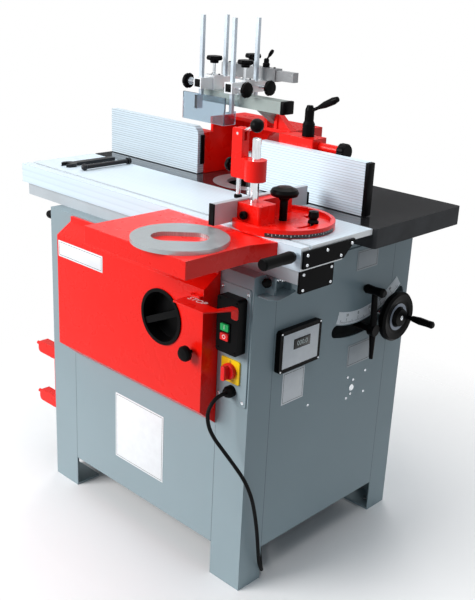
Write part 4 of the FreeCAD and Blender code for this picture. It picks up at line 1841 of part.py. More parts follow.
def main():
    os.makedirs("parts", exist_ok=True)
    save("cabinet_frame", top_frame(), *corner_posts(), *tilt_guides())
    save("cabinet_panels", front_panel(), rear_panel(), side_sheet(-1), right_panel(), *cover_hinges())
    save("main_table", main_table())
    save("table_insert_ring", table_insert_ring())
    save("guide_rail", guide_rail())
    save("rail_end_plate", rail_end_plate(), lock_bracket())
    save("side_bracket", side_bracket())
    save("switch_plate", *switch_plate())
    save("switch_box", *switch_box())
    save("readout", readout())
    save("power_cord", power_cord())
    save("cord_coil", cord_coil())
    save("mains_plug", mains_plug())
    save("front_cover", front_cover())
    save("cover_grip", cover_grip())
    save("cover_knob", cover_knob())
    save("stop_flap", stop_flap())
    save("start_button", push_button(START_Z))
    save("stop_button", push_button(STOP_Z))
    save("isolator_knob", isolator_knob())
    save("table_lock", table_lock(), lock_spring())
    save("sliding_table", sliding_table())
    save("table_end_plates", *table_end_plates(), push_handle(), *guide_shoes())
    save("outrigger_tray", outrigger_tray())
    save("spare_ring", spare_ring())
    save("loose_tools", *loose_tools())
    save("mitre_base", mitre_base())
    save("mitre_fence", mitre_fence())
    save("clamp_column", clamp_column())
    save("pivot_knob", pivot_knob())
    save("mitre_lock_knob", mitre_lock_knob())
    save("clamp_carriage", clamp_carriage())
    save("clamp_lever", clamp_lever())
    save("press_rod", press_rod())
    save("carriage_knob", carriage_knob())
    save("fence_hood", fence_hood())
    save("outfeed_fence", outfeed_fence())
    save("infeed_fence", infeed_fence())
    save("fence_clamp_lever", fence_clamp_lever())
    save("fence_adjuster", fence_adjuster())
    save("guard_beam", guard_beam())
    save("pressure_frame", *pressure_frame())
    save("visor", visor())
    save("visor_rods", *visor_rods())
    save("rear_rods", *rear_rods())
    save("side_knob_left", side_knob(ARM_LEFT_X, ROD_INSET, -1))
    save("side_knob_right", side_knob(ARM_RIGHT_X, ROD_INSET, 1))
    save("side_knob_rear", side_knob(ARM_RIGHT_X, REAR_ROD_Y, 1))
    arm_tip = ARM_HIGH + RING_GAP
    bar_tip = ARM_HIGH + REAR_BEAM_HEIGHT - REAR_BEAM_WALL + RING_GAP
    save("star_knob_left", star_knob_top(ARM_LEFT_X, SLEEVE_Y, arm_tip))
    save("star_knob_right", star_knob_top(ARM_RIGHT_X, SLEEVE_Y, arm_tip))
    bar_middle = REAR_BEAM_Y + REAR_BEAM_DEPTH / 2
    save("star_knob_rear", star_knob_top(STAR_REAR_X, bar_middle, bar_tip, REAR_STAR_STEM))
    save("beam_lever", beam_lever())
    save("tilt_cradle", tilt_cradle())
    save("quill", *quill())
    save("spindle", spindle())
    save("motor", motor(), drive_belt())
    save("motor_pulley", motor_pulley())
    save("lift_screw", lift_screw())
    save("handwheel", handwheel())
    save("tilt_lever", tilt_lever())


main()
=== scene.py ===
"""Looks of the spindle moulder: finishes, small trim pieces, mains lead, floor, lights and camera.

Front towards -Y, right side towards +X, floor at z 0. Trim and lead are in millimetres; camera, floor,
card, lamps and the fine structure of the finishes are in metres.
"""

import math

import bmesh
import bpy
from mathutils import Color, Matrix, Vector

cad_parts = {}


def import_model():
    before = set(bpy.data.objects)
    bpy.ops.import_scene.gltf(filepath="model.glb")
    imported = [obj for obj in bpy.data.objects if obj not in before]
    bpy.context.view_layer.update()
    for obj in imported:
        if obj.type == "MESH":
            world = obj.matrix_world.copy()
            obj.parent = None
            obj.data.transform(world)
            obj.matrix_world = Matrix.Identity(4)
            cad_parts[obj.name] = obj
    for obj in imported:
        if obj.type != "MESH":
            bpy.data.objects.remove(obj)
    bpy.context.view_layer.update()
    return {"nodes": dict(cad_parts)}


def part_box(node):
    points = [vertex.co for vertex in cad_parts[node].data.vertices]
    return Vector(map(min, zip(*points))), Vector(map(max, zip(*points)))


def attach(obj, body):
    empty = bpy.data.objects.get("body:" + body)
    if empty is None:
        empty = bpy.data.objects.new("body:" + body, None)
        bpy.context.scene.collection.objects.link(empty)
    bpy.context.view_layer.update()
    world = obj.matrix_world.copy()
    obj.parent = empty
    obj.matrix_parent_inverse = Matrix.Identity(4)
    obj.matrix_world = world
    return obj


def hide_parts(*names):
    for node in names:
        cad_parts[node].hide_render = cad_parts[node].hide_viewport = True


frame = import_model()
NODES = frame["nodes"]
MM = 0.001
X, Y, Z = range(3)
RIGHT = (1, 0, 0)
LEFT = (-1, 0, 0)
FORWARD = (0, -1, 0)
BACKWARD = (0, 1, 0)
UP = (0, 0, 1)

# Camera of the photo
CAMERA_PLACE = (1.5743, -1.6356, 1.4059)
CAMERA_AZIMUTH = 43.14
CAMERA_DOWN = 20.15
CAMERA_ROLL = 2.76
CAMERA_LENS = 54.27
CAMERA_REACH = 60.0
SENSOR = 36.0

# Floor, which runs out into the white behind it between two distances
FLOOR_HALF = 12.0
FLOOR_FADE = (0.55, 1.3)

# Dark card behind the machine that the polished table mirrors
CARD_SPAN = (-4.0, 0.6)
CARD_Y = 1.6
CARD_TOP = 1.58

# Even light from all round, and lamps aimed at the middle of the machine, with their power in watts
AMBIENT_TINT = (0.8, 0.9, 1.0, 1.0)
AMBIENT_STRENGTH = 0.24
WHITE_LIGHT = (1.0, 1.0, 1.0)
LAMP_AIM = (0.0, 0.0, 0.6)
LAMPS = {
    "key": {"place": (-1.5, -3.4, 2.4), "size": (2.6, 1.8), "power": 164.0},
    "fill": {"place": (3.0, -1.3, 2.2), "size": (1.8, 1.4), "power": 2.0, "tint": (0.7, 0.88, 1.0)},
    "rear": {"place": (-2.2, 3.0, 2.6), "size": (2.0, 1.6), "power": 45.0, "mirrored": False},
    "top": {"place": (0.2, 0.3, 3.6), "size": (3.0, 2.4), "power": 60.0},
}

# Faces and axes of the machine
TABLE_TOP = 880.0
SIDE_FACE = 367.0
FRONT_FACE = -297.0
SWITCH_FACE = -300.0
ISOLATOR_FACE = -304.0
COVER_FACE = -348.5
TILT_Y = 88.0
TILT_Z = TABLE_TOP
INSERT_CENTRE = (-10.0, TILT_Y)
SPARE_RING_CENTRE = (272.0, -426.0)
MITRE_X = 322.0
MITRE_Y = -166.0
WHEEL_Y = 193.33
WHEEL_Z = 601.24
WHEEL_BACK = 398.0
WHEEL_WEB = WHEEL_BACK + 17.0
WHEEL_HUB_END = WHEEL_BACK + 28.0

# Where the finish of a node changes, by a face's normal or place
FACING = 0.9
UPRIGHT = 0.5
T_SLOT_Y = -243.0
T_SLOT_HALF = 7.0
T_SLOT_LOW = 871.0
SLIDE_TOP_LOW = TABLE_TOP - 1.0
SLIDE_FRONT = -272.0
HANDLE_GRIP_BACK = -281.0
HANDLE_BACK = -270.0
SHOE_TOP = 832.0
RAIL_PLATE_BACK = 430.0
LOCK_KNOB_BACK = -263.0
PRESS_FOOT_TOP = 950.0
LEVER_BALL_LEFT = 262.0
ADJUSTER_KNOB_LEFT = 271.0
SLEEVE_FOOT = 1106.5
REAR_BEAM_LOW = 1138.5
REAR_BEAM_FRONT = 112.0
ESCUTCHEON_BACK = SWITCH_FACE - 0.5
WHEEL_SHAFT_END = WHEEL_BACK - 2.0
STAR_KNOB_TALL = 19.5
SIDE_KNOB_TALL = 16.5

# Plates, ink and lettering
PLATE_THICK = 0.8
PLATE_EDGE = 0.3
INK_THICK = 0.15
INK_GAP = 0.1
LETTER_DEPTH = 0.2
BORDER_INSET = 4.0
FINE_LINE = 0.8
BOLD_LINE = 1.0

# Bare plates: their spans across and upwards
RATING_PLATE = ((-184, -106), (458, 540))
UPPER_SIDE_PLATE = ((64, 149), (735, 786))
LEVER_PLATE = ((60, 157), (483, 542))
FRONT_PLATE = ((-97, 90), (172, 358))
COVER_PLATE = ((-262, -83), (698, 740))

# Tilt scale: radii and degrees from straight down
TILT_SCALE_R = (248.0, 279.0)
TILT_SCALE_SPAN = (-18, 38.5)
TILT_MARKS = range(-15, 37)
TILT_MARK_HALF = 0.11
TILT_MARK_RIM = 2.0
TILT_FIGURES = range(-10, 31, 10)
TILT_FIGURE_INSET = 23.0
TILT_FIGURE_SIZE = 10.0
TEN_MARK = 16.0
FIVE_MARK = 11.0
ONE_MARK = 7.0

# Readout: rim of the case, and the window, placed by shares of the white front
READOUT_RIM = 10.0
WINDOW_ACROSS = 0.52
WINDOW_DOWN = 0.36
WINDOW_HALF_WIDE = 0.23
WINDOW_HALF_TALL = 0.15
WINDOW_FRAME = 1.5
WINDOW_TALL = 1.0
GLASS_TALL = 0.3
WINDOW_FIGURES = 1.35

# Switch: screws, rim round the buttons and marks
SWITCH_PLATE_SCREWS = ((279, 756), (355, 754), (278, 497), (353, 498))
CASE_SCREW_X = (295, 345)
CASE_SCREW_Z = (737, 623)
BUTTON_GAP = 3.0
BUTTON_RIM = 2.2
BUTTON_RIM_TALL = 2.0
BUTTON_MARK_SIZE = 13.0
ISOLATOR_ON = (335, 565)
ISOLATOR_OFF = (314, 586)
ISOLATOR_MARK_SIZE = 10.0
STOP_WORD_SHARE = 0.34
STOP_WORD_Y = -378.0
STOP_WORD_SIZE = 22.0

# Caps on the extrusions
INFEED_CAP = 11.0
OUTFEED_CAP = 4.0
OUTFEED_CAP_FRONT = 9.0
OUTFEED_CAP_FOOT = 24.0
OUTFEED_CAP_HEAD = 22.0
MITRE_FENCE_X = (248.0, 262.0)
MITRE_CAP_PROUD = 0.8
MITRE_CAP_FRONT = 4.0
MITRE_CAP_REAR = 8.0
MITRE_CAP_REAR_TALL = 30.0
BEAM_Y = (39.0, 79.0)
BEAM_Z = (1075.0, 1107.0)
BEAM_CAP_RIGHT = (-7.0, 4.0)
BEAM_CAP_LEFT = (-3.0, 6.0)

# Guard: arms with their sleeves, and the rear beam
ARM_X = (-136, -25)
ARM_HOLE_HALF = 9.9
ARM_HOLE_Z = (1114.9, 1134.7)
ARM_PLUG_Y = (0.8, 4.0)
ARM_PLUG_BOSS_HALF = 5.0
ARM_PLUG_BOSS_TALL = 0.6
SLEEVE_TOP = 1143.6
SLEEVE_SLIT_HALF = 13.0
SLEEVE_SLIT_Y = (45.0, 48.0)
SLEEVE_SLIT_TALL = 0.4
SLEEVE_SCREW_OFF = 12.0
SLEEVE_SCREW_Y = 66.0
REAR_SCREW_X = (-150, -104, 8)
REAR_SCREW_Y = 132.0
REAR_BEAM_TOP = 1170.3

# Bolts and screws on the right: heads, and places as y and z
BOLT_R = 3.6
BOLT_TALL = 2.6
TABLE_PLATE_BOLTS = ((-258, 843), (-258, 864), (-194, 864), (-146, 843), (-110, 864))
RAIL_BOLT_Y = (-252, -160)
RAIL_BOLT_Z = (784, 818)
SIDE_SCREW_TALL = 2.2
SIDE_SCREWS = ((142, 453), (142, 394), (69, 454), (93, 441), (86, 404), (70, 396), (-85, 428))
GEAR_PIN = (86, 422)
GEAR_PIN_HEAD = [(9, 0), (9, 3), (7, 5), (0, 5)]

# Mitre scale round the protractor, handwheel trim, column screw and left knob
MITRE_RIM = 115.0
MITRE_STRIP_THICK = 0.6
MITRE_STRIP_Z = (881.5, 889.5)
MITRE_STRIP_SPAN = (-68, 22)
MITRE_MARKS = range(-64, 21, 4)
MITRE_MARK_HALF = 0.25
MITRE_LONG_MARK = 5.5
MITRE_SHORT_MARK = 3.0
WHEEL_RING_R = (27.0, 35.0)
WHEEL_RING_THICK = 0.8
WHEEL_RING_SLOPE = 0.6
COLUMN_SCREW = (288, -250, 908)
COLUMN_SCREW_OUTLINE = [
    (4, 0), (4, 3), (9, 3), (9.5, 5), (9.5, 10), (8, 12), (4, 12), (3, 9), (0, 9)]
LEFT_KNOB = (-SIDE_FACE, -282, 768)
LEFT_KNOB_STUD = [(5, 0), (5, 9)]
LEFT_KNOB_OUTLINE = [(6, 8), (10, 11), (11, 15), (11, 26), (9, 31), (0, 33)]

# Joint lines between posts and panels
SEAM_HALF = 0.6
SEAM_Z = (90, 796)
SEAM_FRONT_TOP = 410
SEAM_WHEEL_GAP = (578, 676)
SEAM_Y = 222
SEAM_X = 269

# Mains lead
CORD_DIAMETER = 9.0
CORD_R = CORD_DIAMETER / 2
GLAND = (318.0, -320.0, 516.0)
CORD_LEAD = 13.0
CORD_BEND_R = 41.0
CORD_BEND_STEPS = 4
CORD_HANG = [
    (2.5, 51, 0.872), (10, 41, 0.818), (26, 27, 0.762), (48, 12, 0.696),
    (67, -6, 0.62), (74, -25, 0.527), (73, -42, 0.417), (70, -56, 0.31),
    (68, -66, 0.204), (66, -74, 0.12), (60, -94, 0.058), (38, -117, 0.023)]
CORD_FLOOR = [(322, -170), (270, -115), (205, -30), (132, 45)]
COIL_R = 50.0
COIL_PITCH = 9.8
COIL_TURNS = 3
COIL_STEPS = 24
COIL_TAIL = 62.0
COIL_TAIL_SHARES = (0.35, 0.7, 1.0)
COIL_EASE = 0.01
TIE_OUTSIDE = 14.5
TIE_INSIDE = 13.5
TIE_SLACK = 0.6
TIE_THICK = 0.8
TIE_HALF = 4.0
TIE_FOOT = 0.1
TIE_LOCK_LONG = 6.0
TIE_LOCK_HALF = 3.2
TIE_LOCK_RISE = 2.0

# Main colours of the machine, and the floor's
GREY = (146, 163, 169)
RED = (244, 22, 10)
BLACK = (9, 9, 10)
IRON = (92, 93, 96)
FLOOR_WHITE = (250, 250, 250)

# Radius to which a finish rounds the edges to the eye, and how finely
PAINT_EDGE_R = 0.0016
PLASTIC_EDGE_R = PAINT_EDGE_R / 2
EDGE_SAMPLES = 4

# Stretch in which most values of a noise lie, and scale of a wave that repeats once in a metre
NOISE_SPAN = (0.35, 0.65)
WAVE_SCALE = 2.0 * math.pi / 20.0

# Full value of a display colour
FULL = 255.0


def linear(colour):
    """Linear colour with alpha from a display colour of 0 to 255."""
    shares = Color([v / FULL for v in colour])
    return (*shares.from_srgb_to_scene_linear(), 1.0)


def scaled(colour, factor):
    """The colour made darker or lighter."""
    return tuple(min(FULL, v * factor) for v in colour)


# Finishes
class Finish:
    """A procedural material, built up step by step."""

    def __init__(self, name, colour, rough, metal=0.0):
        self.mat = bpy.data.materials.new(name)
        self.mat.use_nodes = True
        self.tree = self.mat.node_tree
        self.bsdf = self.tree.nodes["Principled BSDF"]
        self.coords = self.node("ShaderNodeTexCoord").outputs["Object"]
        self.set(Base_Color=linear(colour), Roughness=rough, Metallic=metal)

    def set(self, **values):
        """Sets inputs of the shader by name, with underlines for blanks."""
        for key, value in values.items():
            self.bsdf.inputs[key.replace("_", " ")].default_value = value

    def node(self, kind):
        """New node of a kind."""
        return self.tree.nodes.new(kind)

    def link(self, start, end):
        """Joins an output to an input."""
        self.tree.links.new(start, end)

    def mapped(self, setting, value):
        """Object coordinates after a mapping with one setting."""
        mapping = self.node("ShaderNodeMapping")
        mapping.inputs[setting].default_value = value
        self.link(self.coords, mapping.inputs["Vector"])
        return mapping.outputs["Vector"]

    def noise(self, scale, detail=3.0, stretch=(1.0, 1.0, 1.0)):
        """Noise, stretched along an axis where its factor is small."""
        texture = self.node("ShaderNodeTexNoise")
        texture.inputs["Scale"].default_value = scale
        texture.inputs["Detail"].default_value = detail
        self.link(self.mapped("Scale", stretch), texture.inputs["Vector"])
        return texture.outputs["Fac"]

    def waves(self, kind, pitch, coords):
        """Wave texture with the given pitch."""
        texture = self.node("ShaderNodeTexWave")
        texture.wave_type = kind
        texture.inputs["Scale"].default_value = WAVE_SCALE / pitch
        self.link(coords, texture.inputs["Vector"])
        return texture

    def ribs(self, across, pitch):
        """Wave of straight ribs across an axis."""
        texture = self.waves("BANDS", pitch, self.coords)
        texture.bands_direction = across
        return texture.outputs["Fac"]

    def rings(self, centre, pitch):
        """Wave of rings round an upright axis through a centre in millimetres."""
        x, y = centre
        texture = self.waves("RINGS", pitch, self.mapped("Location", (-x * MM, -y * MM, 0.0)))
        texture.rings_direction = "Z"
        return texture.outputs["Fac"]

    def ramp(self, source, low, high, span=NOISE_SPAN):
        """Takes a span of a texture value to the stretch between two numbers."""
        ramp = self.node("ShaderNodeMapRange")
        ramp.inputs["From Min"].default_value, ramp.inputs["From Max"].default_value = span
        ramp.inputs["To Min"].default_value = low
        ramp.inputs["To Max"].default_value = high
        self.link(source, ramp.inputs["Value"])
        return ramp.outputs["Result"]

    def tones(self, source, colour, darkest, palest, span=NOISE_SPAN):
        """Base colour that changes with a texture value between two shares of a colour."""
        mix = self.node("ShaderNodeMix")
        mix.data_type = "RGBA"
        mix.inputs["A"].default_value = linear(scaled(colour, darkest))
        mix.inputs["B"].default_value = linear(scaled(colour, palest))
        self.link(self.ramp(source, 0.0, 1.0, span), mix.inputs["Factor"])
        self.link(mix.outputs["Result"], self.bsdf.inputs["Base Color"])

    def roughness(self, source, low, high):
        """Roughness that changes with a texture value."""
        self.link(self.ramp(source, low, high), self.bsdf.inputs["Roughness"])

    def bump(self, source, strength, depth):
        """Fine relief, which it returns."""
        relief = self.node("ShaderNodeBump")
        relief.inputs["Strength"].default_value = strength
        relief.inputs["Distance"].default_value = depth
        self.link(source, relief.inputs["Height"])
        self.link(relief.outputs["Normal"], self.bsdf.inputs["Normal"])
        return relief

    def soft_edges(self, relief, radius):
        """Rounds the edges to the eye, under a relief."""
        edges = self.node("ShaderNodeBevel")
        edges.samples = EDGE_SAMPLES
        edges.inputs["Radius"].default_value = radius
        self.link(edges.outputs["Normal"], relief.inputs["Normal"])


def paint(name, colour, rough, shine=0.24):
    """Stove enamel: faint orange peel and slow changes of tone."""
    finish = Finish(name, colour, rough)
    finish.tones(finish.noise(scale=3.0), colour, darkest=0.99, palest=1.01)
    finish.roughness(finish.noise(scale=24.0), low=rough - 0.02, high=rough + 0.03)
    relief = finish.bump(finish.noise(scale=420.0, detail=2.0), strength=0.02, depth=0.0004)
    finish.soft_edges(relief, PAINT_EDGE_R)
    finish.set(Specular_IOR_Level=shine, Coat_Weight=shine / 6, Coat_Roughness=0.15)
    return finish.mat


def brushed(name, colour, rough, stretch, metal=1.0):
    """Metal with fine marks drawn out along one axis."""
    finish = Finish(name, colour, rough, metal)
    marks = finish.noise(scale=260.0, detail=2.0, stretch=stretch)
    finish.tones(marks, colour, darkest=0.97, palest=1.03)
    finish.roughness(marks, low=rough - 0.04, high=rough + 0.06)
    finish.bump(marks, strength=0.03, depth=0.0002)
    return finish.mat


def plastic(name, colour, rough, shine=0.3):
    """Moulded plastic with a fine grain."""
    finish = Finish(name, colour, rough)
    finish.tones(finish.noise(scale=35.0), colour, darkest=0.93, palest=1.08)
    relief = finish.bump(finish.noise(scale=900.0, detail=1.0), strength=0.1, depth=0.0003)
    finish.soft_edges(relief, PLASTIC_EDGE_R)
    finish.set(Specular_IOR_Level=shine)
    return finish.mat


def ground_iron():
    """Ground and oiled top of a casting: dark mirror with marks along it and faint stains."""
    finish = Finish("cast_iron_ground", IRON, rough=0.2, metal=0.85)
    finish.tones(finish.noise(scale=5.0, detail=5.0), IRON, darkest=0.9, palest=1.1)
    marks = finish.noise(scale=300.0, detail=2.0, stretch=(0.03, 1.0, 1.0))
    finish.roughness(marks, low=0.1, high=0.15)
    finish.bump(marks, strength=0.02, depth=0.0001)
    return finish.mat


def raw_casting(name, colour):
    """Rough painted casting."""
    finish = Finish(name, colour, rough=0.6)
    finish.tones(finish.noise(scale=14.0, detail=4.0), colour, darkest=0.85, palest=1.12)
    finish.bump(finish.noise(scale=180.0, detail=4.0), strength=0.25, depth=0.0008)
    finish.set(Specular_IOR_Level=0.15)
    return finish.mat


def ribbed_alu(name, colour, across, pitch, groove_shade):
    """Pale anodised extrusion with fine grooves along its length, and painted shade that darkens the
    grooves by a share.
    """
    finish = Finish(name, colour, rough=0.45, metal=0.1)
    grooves = finish.ribs(across, pitch)
    # Painted shade: the colour darkens in each groove by the given share.
    finish.tones(grooves, colour, darkest=groove_shade, palest=1.0, span=(0.02, 0.34))
    drawn = finish.noise(scale=40.0, detail=2.0, stretch=(0.05, 1.0, 1.0))
    finish.roughness(drawn, low=0.4, high=0.52)
    finish.bump(grooves, strength=0.2, depth=0.0006)
    return finish.mat


def turned_ring(name, colour, centre):
    """Turned metal with fine marks round an upright axis."""
    finish = Finish(name, colour, rough=0.34, metal=0.55)
    marks = finish.rings(centre, pitch=0.0022)
    finish.tones(marks, colour, darkest=0.95, palest=1.03, span=(0.1, 0.9))
    finish.roughness(finish.noise(scale=30.0), low=0.28, high=0.42)
    finish.bump(marks, strength=0.05, depth=0.0002)
    return finish.mat


def anodised(name, colour, metal=0.4):
    """Matt anodised section."""
    finish = Finish(name, colour, rough=0.42, metal=metal)
    finish.tones(finish.noise(scale=9.0), colour, darkest=0.97, palest=1.03)
    finish.roughness(finish.noise(scale=60.0), low=0.36, high=0.48)
    finish.bump(finish.noise(scale=600.0, detail=1.0), strength=0.03, depth=0.0002)
    return finish.mat


def rubber(name, colour):
    """Matt black rubber with a fine grain."""
    finish = Finish(name, colour, rough=0.55)
    finish.tones(finish.noise(scale=60.0), colour, darkest=0.85, palest=1.25)
    finish.bump(finish.noise(scale=700.0, detail=2.0), strength=0.1, depth=0.0002)
    finish.set(Specular_IOR_Level=0.08)
    return finish.mat


def clear_sheet(name, colour):
    """Clear polycarbonate with light handling marks."""
    finish = Finish(name, colour, rough=0.06)
    finish.roughness(finish.noise(scale=18.0, detail=4.0), low=0.03, high=0.12)
    finish.set(Transmission_Weight=0.92, IOR=1.49)
    return finish.mat


def printed(name, colour):
    """Matt printed plate or ink."""
    finish = Finish(name, colour, rough=0.45)
    finish.tones(finish.noise(scale=50.0), colour, darkest=0.99, palest=1.01)
    return finish.mat


GREY_PAINT = paint("grey_paint_finish", GREY, rough=0.38)
RED_PAINT = paint("red_paint_finish", RED, rough=0.28)
# Inner faces of the panels: painted shade, a dark grey that stands in for the shade inside the cabinet.
INSIDE_PAINTED_SHADE = paint("inside_painted_shade", (62, 69, 73), rough=0.5)
BLACK_PAINT = paint("black_metal_finish", (12, 12, 13), rough=0.35, shine=0.03)
GROUND = ground_iron()
# Tilt cradle: its casting grey, darkened further as painted shade for the view into the cabinet through
# the tilt slot.
CASTING_WITH_PAINTED_SHADE = raw_casting("casting_with_painted_shade", (58, 62, 65))
TABLE_EDGE = raw_casting("table_edge_finish", (58, 59, 61))
MOTOR_PAINT = raw_casting("motor_finish", (46, 52, 60))
ALU_TABLE = ribbed_alu("aluminium_table", (218, 231, 240), across="Y", pitch=0.0105, groove_shade=0.96)
ALU_FENCE = ribbed_alu("aluminium_fence", (224, 240, 250), across="Z", pitch=0.0062, groove_shade=0.86)
ALU_OUTFEED = ribbed_alu("aluminium_outfeed", (204, 218, 227), across="Z", pitch=0.0062, groove_shade=0.8)
ALU_FRONT = ribbed_alu("aluminium_front", (214, 230, 241), across="Z", pitch=0.016, groove_shade=0.97)
RAIL = anodised("rail_finish", (184, 191, 196), metal=0.15)
RODS = anodised("rod_finish", (190, 201, 210), metal=0.5)
ALU_WHITE = anodised("aluminium_white", (226, 229, 231))
ALU_GREY = anodised("aluminium_grey", (150, 152, 154))
ALU_BEAM = anodised("aluminium_beam", (146, 156, 152))
# Walls of the T-slot: painted shade, a grey a little darker than the table's top.
SLOT_PAINTED_SHADE = anodised("slot_painted_shade", (196, 203, 208), metal=0.1)
WHEEL_RING = anodised("wheel_ring_finish", (150, 158, 172), metal=0.2)
INSERT_RING = turned_ring("insert_ring_finish", (170, 174, 178), centre=INSERT_CENTRE)
SPARE_RING = turned_ring("spare_ring_finish", (168, 174, 176), centre=SPARE_RING_CENTRE)
STEEL = brushed("steel_finish", (176, 180, 184), rough=0.28, stretch=(1.0, 1.0, 0.05))
BRIGHT = brushed("chrome_finish", (222, 226, 230), rough=0.12, stretch=(1.0, 1.0, 0.2))
OILED = brushed(
    "oiled_steel_finish", (34, 35, 38), rough=0.34, stretch=(1.0, 0.05, 1.0), metal=0.6)
BLACK_PLASTIC = plastic("black_plastic_finish", BLACK, rough=0.33, shine=0.05)
RED_PLASTIC = plastic("red_plastic_finish", (222, 20, 22), rough=0.3)
GREEN_PLASTIC = plastic("green_plastic_finish", (14, 178, 92), rough=0.3)
YELLOW_PLASTIC = plastic("yellow_plastic_finish", (255, 198, 20), rough=0.35)
GLASS = plastic("display_glass", (20, 22, 23), rough=0.12)
RUBBER = rubber("rubber_finish", (16, 16, 17))
CLEAR = clear_sheet("clear_sheet", (168, 190, 206))
PLATE = printed("white_plate", (240, 242, 244))
SILVER_PLATE = printed("silver_plate", (172, 178, 182))
SCALE_WHITE = printed("scale_plate", (248, 251, 255))
INK = printed("black_ink", (20, 20, 22))
WHITE_INK = printed("white_ink", (246, 246, 246))
LIT_INK = printed("lit_figures", (214, 226, 222))
SEAM = printed("seam_shade", (92, 104, 109))
CARD_CLOTH = printed("dark_card_cloth", (30, 30, 31))

ONE_FINISH = {
    GREY_PAINT: ["cabinet_frame"],
    RED_PAINT: [
        "outrigger_tray", "mitre_base", "fence_hood", "front_cover", "stop_flap", "clamp_carriage",
        "side_bracket"],
    STEEL: ["spindle", "motor_pulley", "lift_screw", "quill"],
    INSERT_RING: ["table_insert_ring"],
    SPARE_RING: ["spare_ring"],
    BRIGHT: ["clamp_column"],
    OILED: ["loose_tools"],
    RAIL: ["guide_rail", "mitre_fence"],
    ALU_FENCE: ["infeed_fence"],
    ALU_OUTFEED: ["outfeed_fence"],
    RODS: ["visor_rods", "rear_rods"],
    BLACK_PLASTIC: [
        "cover_grip", "cover_knob", "switch_box", "readout", "mitre_lock_knob", "pivot_knob",
        "carriage_knob", "fence_clamp_lever", "beam_lever", "tilt_lever"],
    CASTING_WITH_PAINTED_SHADE: ["tilt_cradle"],
    MOTOR_PAINT: ["motor"],
    RUBBER: ["power_cord", "cord_coil", "mains_plug"],
    CLEAR: ["visor"],
    RED_PLASTIC: ["stop_button", "isolator_knob"],
    GREEN_PLASTIC: ["start_button"],
}


def dress(name, materials, pick):
    """Gives a node its finishes; pick takes a face's centre, in millimetres, and its normal."""
    mesh = NODES[name].data
    mesh.materials.clear()
    for material in materials:
        mesh.materials.append(material)
    for face in mesh.polygons:
        face.material_index = pick(face.center / MM, face.normal)


def past(axis, limit, there=1):
    """Picks one of two finishes for the faces past a limit on an axis."""
    return lambda centre, normal: there if centre[axis] > limit else 1 - there


def before(axis, limit, there=1):
    """Picks one of two finishes for the faces before a limit on an axis."""
    return lambda centre, normal: there if centre[axis] < limit else 1 - there


def table_face(centre, normal):
    """Ground top, raw edges and underside."""
    return 0 if normal.z > FACING else 1


def slide_face(centre, normal):
    """Grooved top, plain pale front, matt ends and hollows, and the T-slot's walls in painted shade, a
    grey a little darker than the top.
    """
    if normal.z > FACING and centre.z > SLIDE_TOP_LOW:
        return 0
    # T-slot walls get the painted shade.
    if abs(centre.y - T_SLOT_Y) < T_SLOT_HALF and centre.z > T_SLOT_LOW:
        return 3
    return 1 if normal.y < -FACING and centre.y < SLIDE_FRONT else 2


def panel_face(centre, normal):
    """Painted outside, and painted shade, a dark grey, on the inner faces."""
    inward = centre.x * normal.x + centre.y * normal.y < 0
    return 1 if inward and abs(normal.z) < UPRIGHT else 0


def end_plate_face(centre, normal):
    """Painted plates, plastic grip of the push handle, steel shoes and handle foot."""
    if centre.y < HANDLE_GRIP_BACK:
        return 1
    return 2 if centre.z < SHOE_TOP or centre.y < HANDLE_BACK else 0


def pressure_frame_face(centre, normal):
    """White arms, grey rear beam and bar."""
    return 1 if centre.z > REAR_BEAM_LOW and centre.y > REAR_BEAM_FRONT else 0


def finish_nodes():
    """Finishes of all nodes: those with a single one first, then those with several."""
    for material, names in ONE_FINISH.items():
        for name in names:
            dress(name, [material], lambda centre, normal: 0)
    dress("main_table", [GROUND, TABLE_EDGE], table_face)
    dress("sliding_table", [ALU_TABLE, ALU_FRONT, ALU_WHITE, SLOT_PAINTED_SHADE], slide_face)
    dress("cabinet_panels", [GREY_PAINT, INSIDE_PAINTED_SHADE], panel_face)
    dress("table_end_plates", [BLACK_PAINT, BLACK_PLASTIC, STEEL], end_plate_face)
    dress("rail_end_plate", [BLACK_PAINT, GREY_PAINT], past(X, RAIL_PLATE_BACK, there=0))
    dress("table_lock", [BLACK_PLASTIC, BRIGHT], before(Y, LOCK_KNOB_BACK, there=0))
    dress("press_rod", [BRIGHT, BLACK_PLASTIC], before(Z, PRESS_FOOT_TOP))
    dress("clamp_lever", [BRIGHT, BLACK_PLASTIC], past(X, LEVER_BALL_LEFT))
    dress("fence_adjuster", [RED_PAINT, BLACK_PLASTIC], past(X, ADJUSTER_KNOB_LEFT))
    dress("guard_beam", [ALU_BEAM, ALU_WHITE], past(Z, SLEEVE_FOOT))
    dress("pressure_frame", [ALU_WHITE, ALU_GREY], pressure_frame_face)
    dress("switch_plate", [GREY_PAINT, YELLOW_PLASTIC], before(Y, ESCUTCHEON_BACK))
    dress("handwheel", [BLACK_PLASTIC, STEEL], before(X, WHEEL_SHAFT_END))
    for name in ("star_knob_left", "star_knob_right", "star_knob_rear"):
        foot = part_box(name)[1][Z] / MM - STAR_KNOB_TALL
        dress(name, [BLACK_PLASTIC, BRIGHT], before(Z, foot))
    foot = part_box("side_knob_left")[0][X] / MM + SIDE_KNOB_TALL
    dress("side_knob_left", [BLACK_PLASTIC, BRIGHT], past(X, foot))
    for name in ("side_knob_right", "side_knob_rear"):
        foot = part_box(name)[1][X] / MM - SIDE_KNOB_TALL
        dress(name, [BLACK_PLASTIC, BRIGHT], before(X, foot))


